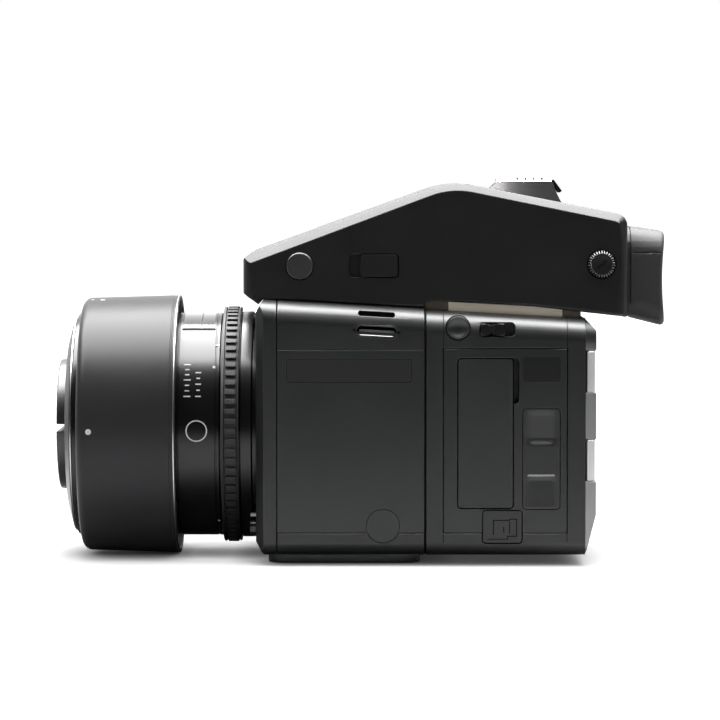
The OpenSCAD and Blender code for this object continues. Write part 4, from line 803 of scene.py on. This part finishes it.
def makeInlays(s):
    (x0, x1), (z0, z1) = s["body"]
    (x2, x3), (z2, z3) = s["back"]
    out, line = sideY - s["proud"], s["line"]
    plate = makeBar((x0, out, z0), (x1, sideY + 0.3, z1), s["corner"], 0.02)
    finishPiece("body_plate", plate, ["fieldPaint"], "camera", ())
    groove = makeFrame((x0, out - 0.01, z0), (x1, sideY + 0.2, z1), s["corner"], s["groove"], 0.02)
    finishPiece("body_plate_groove", groove, ["shadowBlack"], "camera", ())
    dark = makeBar((x2, out, z2), (x3, sideY + 0.3, z3), s["corner"], 0.02)
    finishPiece("back_plate", dark, ["plateBlack"], "camera", ())
    # painted highlight: lighter lines just outside the body's plate and along the back plate's lower edge
    low, high = (x0 - line, out + 0.01, z0 - line), (x1 + line, sideY + 0.2, z1 + line)
    edges = makeFrame(low, high, s["corner"], line, 0.02)
    joinMeshes(edges, makeBar((x2 + 0.6, out, z2 - line), (x3 - 0.6, sideY + 0.2, z2), 0, 0.02))
    finishPiece("plate_highlight_edges", edges, ["capPaintAndHighlight"], "camera", ())


makeInlays(inlaySpec)

# lower strap slot: a slanted lip that bends with the shoulder, a lighter line round it that is a painted highlight,
# the strap's bar inside, and a bright metal strip on the lower lip that is a painted glint
slotSpec = {"x": 11.1, "z": 79.85, "turn": 3.2, "lip": (7.6, 2.4, 0.95, 0.45), "line": (7.9, 2.6, 0.18),
            "bar": (5.9, -0.35, 0.45), "depth": 0.35, "glint": (5.5, -1.62, -1.36, 0.15), "top": 89.1,
            "shoulder": 8.0}


def makeStrapSlot(s):
    half, tall, width, edge = s["lip"]
    lip = makeFrame((-half, sideY - 0.03, -tall), (half, sideY + 1.2, tall), tall - 0.01, width, edge, "y", 10)
    # painted highlight: a thin line of lighter paint round the slot
    half, tall, width = s["line"]
    line = makeFrame((-half, sideY - 0.02, -tall), (half, sideY + 0.3, tall), tall - 0.01, width, 0.02, "y", 10)
    half, low, high = s["bar"]
    bar = makeBar((-half, sideY + s["depth"], low), (half, sideY + s["depth"] + 0.5, high), 0.2, 0.1)
    # painted glint: a bright metal strip on the lower lip
    half, low, high, lean = s["glint"]
    glint = makeBar((-half, sideY - 0.06, low), (half, sideY + 0.8, high), 0, 0)
    for v in glint.verts:  # the lower lip leans back
        if v.co.z > low + 0.1 and v.co.y < sideY:
            v.co.y += lean
    for name, bm, finishName in (("strap_lip", lip, "bodyPaint"), ("strap_highlight_line", line, "capPaintAndHighlight"),
                                 ("strap_bar", bar, "chassisMetal"), ("strap_glint", glint, "skirtMetalAndGlint")):
        placeMesh(bm, s["turn"], "Y", (s["x"], 0, s["z"]))
        for v in bm.verts:
            rise = v.co.z - s["top"] + math.tan(math.radians(s["turn"])) * v.co.x + s["shoulder"]
            if rise > 0:
                v.co.y += s["shoulder"] - math.sqrt(s["shoulder"] ** 2 - rise ** 2)
        finishPiece(name, bm, [finishName], "camera", ())


makeStrapSlot(slotSpec)

# rear keys, which end just inside the bezel's rear face
keySpec = {"nodes": ("key_upper_left", "key_lower_left", "key_upper_right", "key_lower_right"),
           "x": (82.55, 85.15), "edge": 0.4}


def makeKey(node, s):
    bm = mergedCopy(node)
    low, high = min(v.co.x for v in bm.verts), max(v.co.x for v in bm.verts)
    for v in bm.verts:
        v.co.x = s["x"][0] + (s["x"][1] - s["x"][0]) * (v.co.x - low) / (high - low)
    bevelEdges(bm, sharpEdges(bm), s["edge"], 3)
    finishPiece("dressed_" + node, bm, ["silverKey"], bodyOfNode[node], (node,))


for keyNode in keySpec["nodes"]:
    makeKey(keyNode, keySpec)

# seams of the back that run on from its panel, over the shoulder and down to the sole
seamSpec = {"x": (33.8, 75.8), "width": 0.24, "proud": 0.02, "panelZ": (11.2, 74.0), "soleZ": 8.0, "topZ": 88.6,
            "tilt": 3.2, "shoulder": 8.0}


def makeBackSeams(s):
    out, parts = sideY - s["proud"], []
    for x in s["x"]:
        bend = s["topZ"] - math.tan(math.radians(s["tilt"])) * x - s["shoulder"]
        strip = bmesh.new()
        ends = [strip.verts.new((x + side * s["width"] / 2, out, bend)) for side in (-1, 1)]
        edge = strip.edges.new(ends)
        bmesh.ops.spin(strip, geom=ends + [edge], cent=(x, sideY + s["shoulder"], bend), axis=(1, 0, 0),
                       dvec=(0, 0, 0), angle=-math.pi / 2, steps=14)
        grown = bmesh.ops.extrude_edge_only(strip, edges=[edge])["geom"]
        for v in grown:
            if isinstance(v, bmesh.types.BMVert):
                v.co.z = s["panelZ"][1]
        thickenSheet(strip, (0, -1, 0), 0.1)
        low, high = (x - s["width"] / 2, out, s["soleZ"]), (x + s["width"] / 2, sideY + 0.1, s["panelZ"][0])
        parts += [strip, makeBar(low, high, 0, 0.02)]
    finishPiece("back_seams", joinMeshes(*parts), ["shadowBlack"], "camera", ())


makeBackSeams(seamSpec)

# dark gasket in the gap between the body and the back
gasketSpec = {"x": (27.35, 27.95), "half": 45.3, "z": (3.7, 87.0), "corner": 7.6, "width": 3.0,
              "foot": (10.0, 12.0, 4.4)}


def makeGasket(s):
    low, high = (s["x"][0], -s["half"], s["z"][0]), (s["x"][1], s["half"], s["z"][1])
    bm = makeFrame(low, high, s["corner"], s["width"], 0.05, "x", 8)
    wide, tall, rounding = s["foot"]  # the lower corners are tighter
    for y in (-s["half"], s["half"] - wide):
        joinMeshes(bm, makeBar((low[0], y, low[2]), (high[0], y + wide, low[2] + tall), rounding, 0.05, "x", 6))
    finishPiece("back_gasket", bm, ["shadowBlack"], "camera", ())


makeGasket(gasketSpec)

# seal between the finder's floor and the back; its warm brown, and a pale strip along each side, are a painted
# reflection standing in for the lit band seen under the finder
sealSpec = {"low": (26.6, -37.4, 83.0), "high": (80.8, 37.4, 89.8), "paleBandX": (35.6, 74.4), "paleBand": 0.1,
            "thick": 2.0}


def makeSeal(s):
    low, high = s["low"], s["high"]
    finishPiece("finder_seal", makeBar(low, high, 1.5, 0.2, "z"), ["sealBrownReflection"], "camera", ())
    # painted reflection: pale strips along each side where the lit band shows
    y, (x0, x1) = high[1] + s["paleBand"], s["paleBandX"]
    paleBand = joinMeshes(makeBar((x0, -y, low[2]), (x1, s["thick"] - y, high[2]), 0, 0.05),
                      makeBar((x0, y - s["thick"], low[2]), (x1, y, high[2]), 0, 0.05))
    finishPiece("pale_band_painted", paleBand, ["paleBandPaint"], "camera", ())


makeSeal(sealSpec)
print("back controls made")

# floor, studio light and the photograph's view
stageSpec = {"floorRadius": 9.0, "floorColor": 0.90, "oval": (0.5, 1, 1), "lift": (0.62, 0.95),
             "liftFrom": (0.15, 1.1), "contact": 0.012, "pool": (2.4, 0.04), "poolFrom": (0.10, 0.52),
             "foot": (0.10, 1.0), "footFrom": (0.045, 0.085),
             "boxPlace": (0.02, 0.10, 1.8), "boxSize": (1.6, 1.0), "boxPower": 22.0,
             "glossPlace": (0.02, 0.24, 1.6), "glossSize": (3.0, 1.76), "glossPower": 440.0,
             "room": 0.36, "roomGloss": (0.03, 1.9), "roomFrom": (-0.60, 0.50), "roomSides": -0.5}


def makeStage(spec):
    bm = bmesh.new()
    bmesh.ops.create_circle(bm, cap_ends=True, segments=96, radius=spec["floorRadius"])
    mesh = bpy.data.meshes.new("floor")
    bm.to_mesh(mesh)
    bm.free()
    floor = bpy.data.objects.new("floor", mesh)
    bpy.context.scene.collection.objects.link(floor)
    material = bpy.data.materials.new("paleTable")
    material.use_nodes = True
    tree = material.node_tree
    add, join = tree.nodes.new, tree.links.new
    tree.nodes.remove(tree.nodes["Principled BSDF"])
    place = add("ShaderNodeTexCoord")
    oval = add("ShaderNodeVectorMath")
    oval.operation = "MULTIPLY"
    oval.inputs[1].default_value = spec["oval"]
    reach = add("ShaderNodeVectorMath")
    reach.operation = "LENGTH"
    join(place.outputs["Object"], oval.inputs[0])
    join(oval.outputs["Vector"], reach.inputs[0])
    away = reach.outputs["Value"]
    path = add("ShaderNodeLightPath")
    shade = add("ShaderNodeMix")  # in reflections the table is a painted pool of light that fades into the dim room
    shade.inputs["A"].default_value = spec["floorColor"]
    join(path.outputs["Is Glossy Ray"], shade.inputs["Factor"])
    pool = addRamp(tree, away, spec["poolFrom"], spec["pool"])
    # painted shade: in reflections the table darkens close round the object's foot
    foot = addRamp(tree, away, spec["footFrom"], spec["foot"])
    join(addMath(tree, "MULTIPLY", pool, foot), shade.inputs["B"])
    matte = add("ShaderNodeBsdfDiffuse")
    join(shade.outputs["Result"], matte.inputs["Color"])
    backdrop = addRamp(tree, away, spec["liftFrom"], spec["lift"])  # the table runs into the white backdrop
    strength = addMath(tree, "MULTIPLY", path.outputs["Is Camera Ray"], backdrop)
    bare = add("ShaderNodeAmbientOcclusion")  # and stays dark close under the object
    bare.inputs["Distance"].default_value = spec["contact"]
    lift = add("ShaderNodeEmission")
    both = add("ShaderNodeAddShader")
    join(addMath(tree, "MULTIPLY", strength, bare.outputs["AO"]), lift.inputs["Strength"])
    join(matte.outputs["BSDF"], both.inputs[0])
    join(lift.outputs["Emission"], both.inputs[1])
    join(both.outputs["Shader"], tree.nodes["Material Output"].inputs["Surface"])
    mesh.materials.append(material)


def makeWorld(spec):
    world = bpy.data.worlds.new("studio")
    bpy.context.scene.world = world
    world.use_nodes = True
    tree = world.node_tree
    add, join = tree.nodes.new, tree.links.new
    room = tree.nodes["Background"]
    place = add("ShaderNodeTexCoord")
    parts = add("ShaderNodeSeparateXYZ")
    join(place.outputs["Generated"], parts.inputs["Vector"])
    path = add("ShaderNodeLightPath")
    across = addMath(tree, "ABSOLUTE", parts.outputs["X"])
    facing = addMath(tree, "MULTIPLY_ADD", across, spec["roomSides"], parts.outputs["Y"])
    level = add("ShaderNodeMix")  # reflections see a bright backdrop and a dim room on the other sides
    level.inputs["A"].default_value = spec["room"]
    join(path.outputs["Is Glossy Ray"], level.inputs["Factor"])
    join(addRamp(tree, facing, spec["roomFrom"], spec["roomGloss"]), level.inputs["B"])
    join(level.outputs["Result"], room.inputs["Strength"])
    white = add("ShaderNodeBackground")
    pick = add("ShaderNodeMixShader")
    join(path.outputs["Is Camera Ray"], pick.inputs["Fac"])
    join(room.outputs["Background"], pick.inputs[1])
    join(white.outputs["Background"], pick.inputs[2])
    room.inputs["Color"].default_value = white.inputs["Color"].default_value = (1, 1, 1, 1)
    join(pick.outputs["Shader"], tree.nodes["World Output"].inputs["Surface"])


# a soft box that hangs over the table and shines straight down
def makeLamp(name, place, size, power):
    data = bpy.data.lights.new(name, "AREA")
    data.shape = "RECTANGLE"
    data.size, data.size_y = size
    data.energy = power
    lamp = bpy.data.objects.new(name, data)
    lamp.location = place
    lamp.visible_camera = False
    bpy.context.scene.collection.objects.link(lamp)
    return lamp


cameraSpec = {"place": (0.0105, -1.300, 0.131), "yaw": 0.229, "pitch": 2.78, "lens": 185.25}


def makeCamera(spec):
    data = bpy.data.cameras.new("view")
    data.lens, data.sensor_width = spec["lens"], 36.0
    data.clip_start, data.clip_end = 0.05, 60.0
    camera = bpy.data.objects.new("view", data)
    yaw, pitch = math.radians(spec["yaw"]), math.radians(spec["pitch"])
    ahead = Vector((-math.sin(yaw) * math.cos(pitch), math.cos(yaw) * math.cos(pitch), -math.sin(pitch)))
    camera.location = spec["place"]
    camera.rotation_mode = "QUATERNION"
    camera.rotation_quaternion = ahead.to_track_quat("-Z", "Y")
    bpy.context.scene.collection.objects.link(camera)
    bpy.context.scene.camera = camera


makeStage(stageSpec)
makeWorld(stageSpec)
box = makeLamp("overhead", stageSpec["boxPlace"], stageSpec["boxSize"], stageSpec["boxPower"])
gloss = makeLamp("overhead gloss", stageSpec["glossPlace"], stageSpec["glossSize"], stageSpec["glossPower"])
box.visible_glossy = gloss.visible_diffuse = False  # one lights the surfaces, the other their reflections
makeCamera(cameraSpec)
bpy.context.scene.view_settings.view_transform = "Standard"
print("stage and view set")
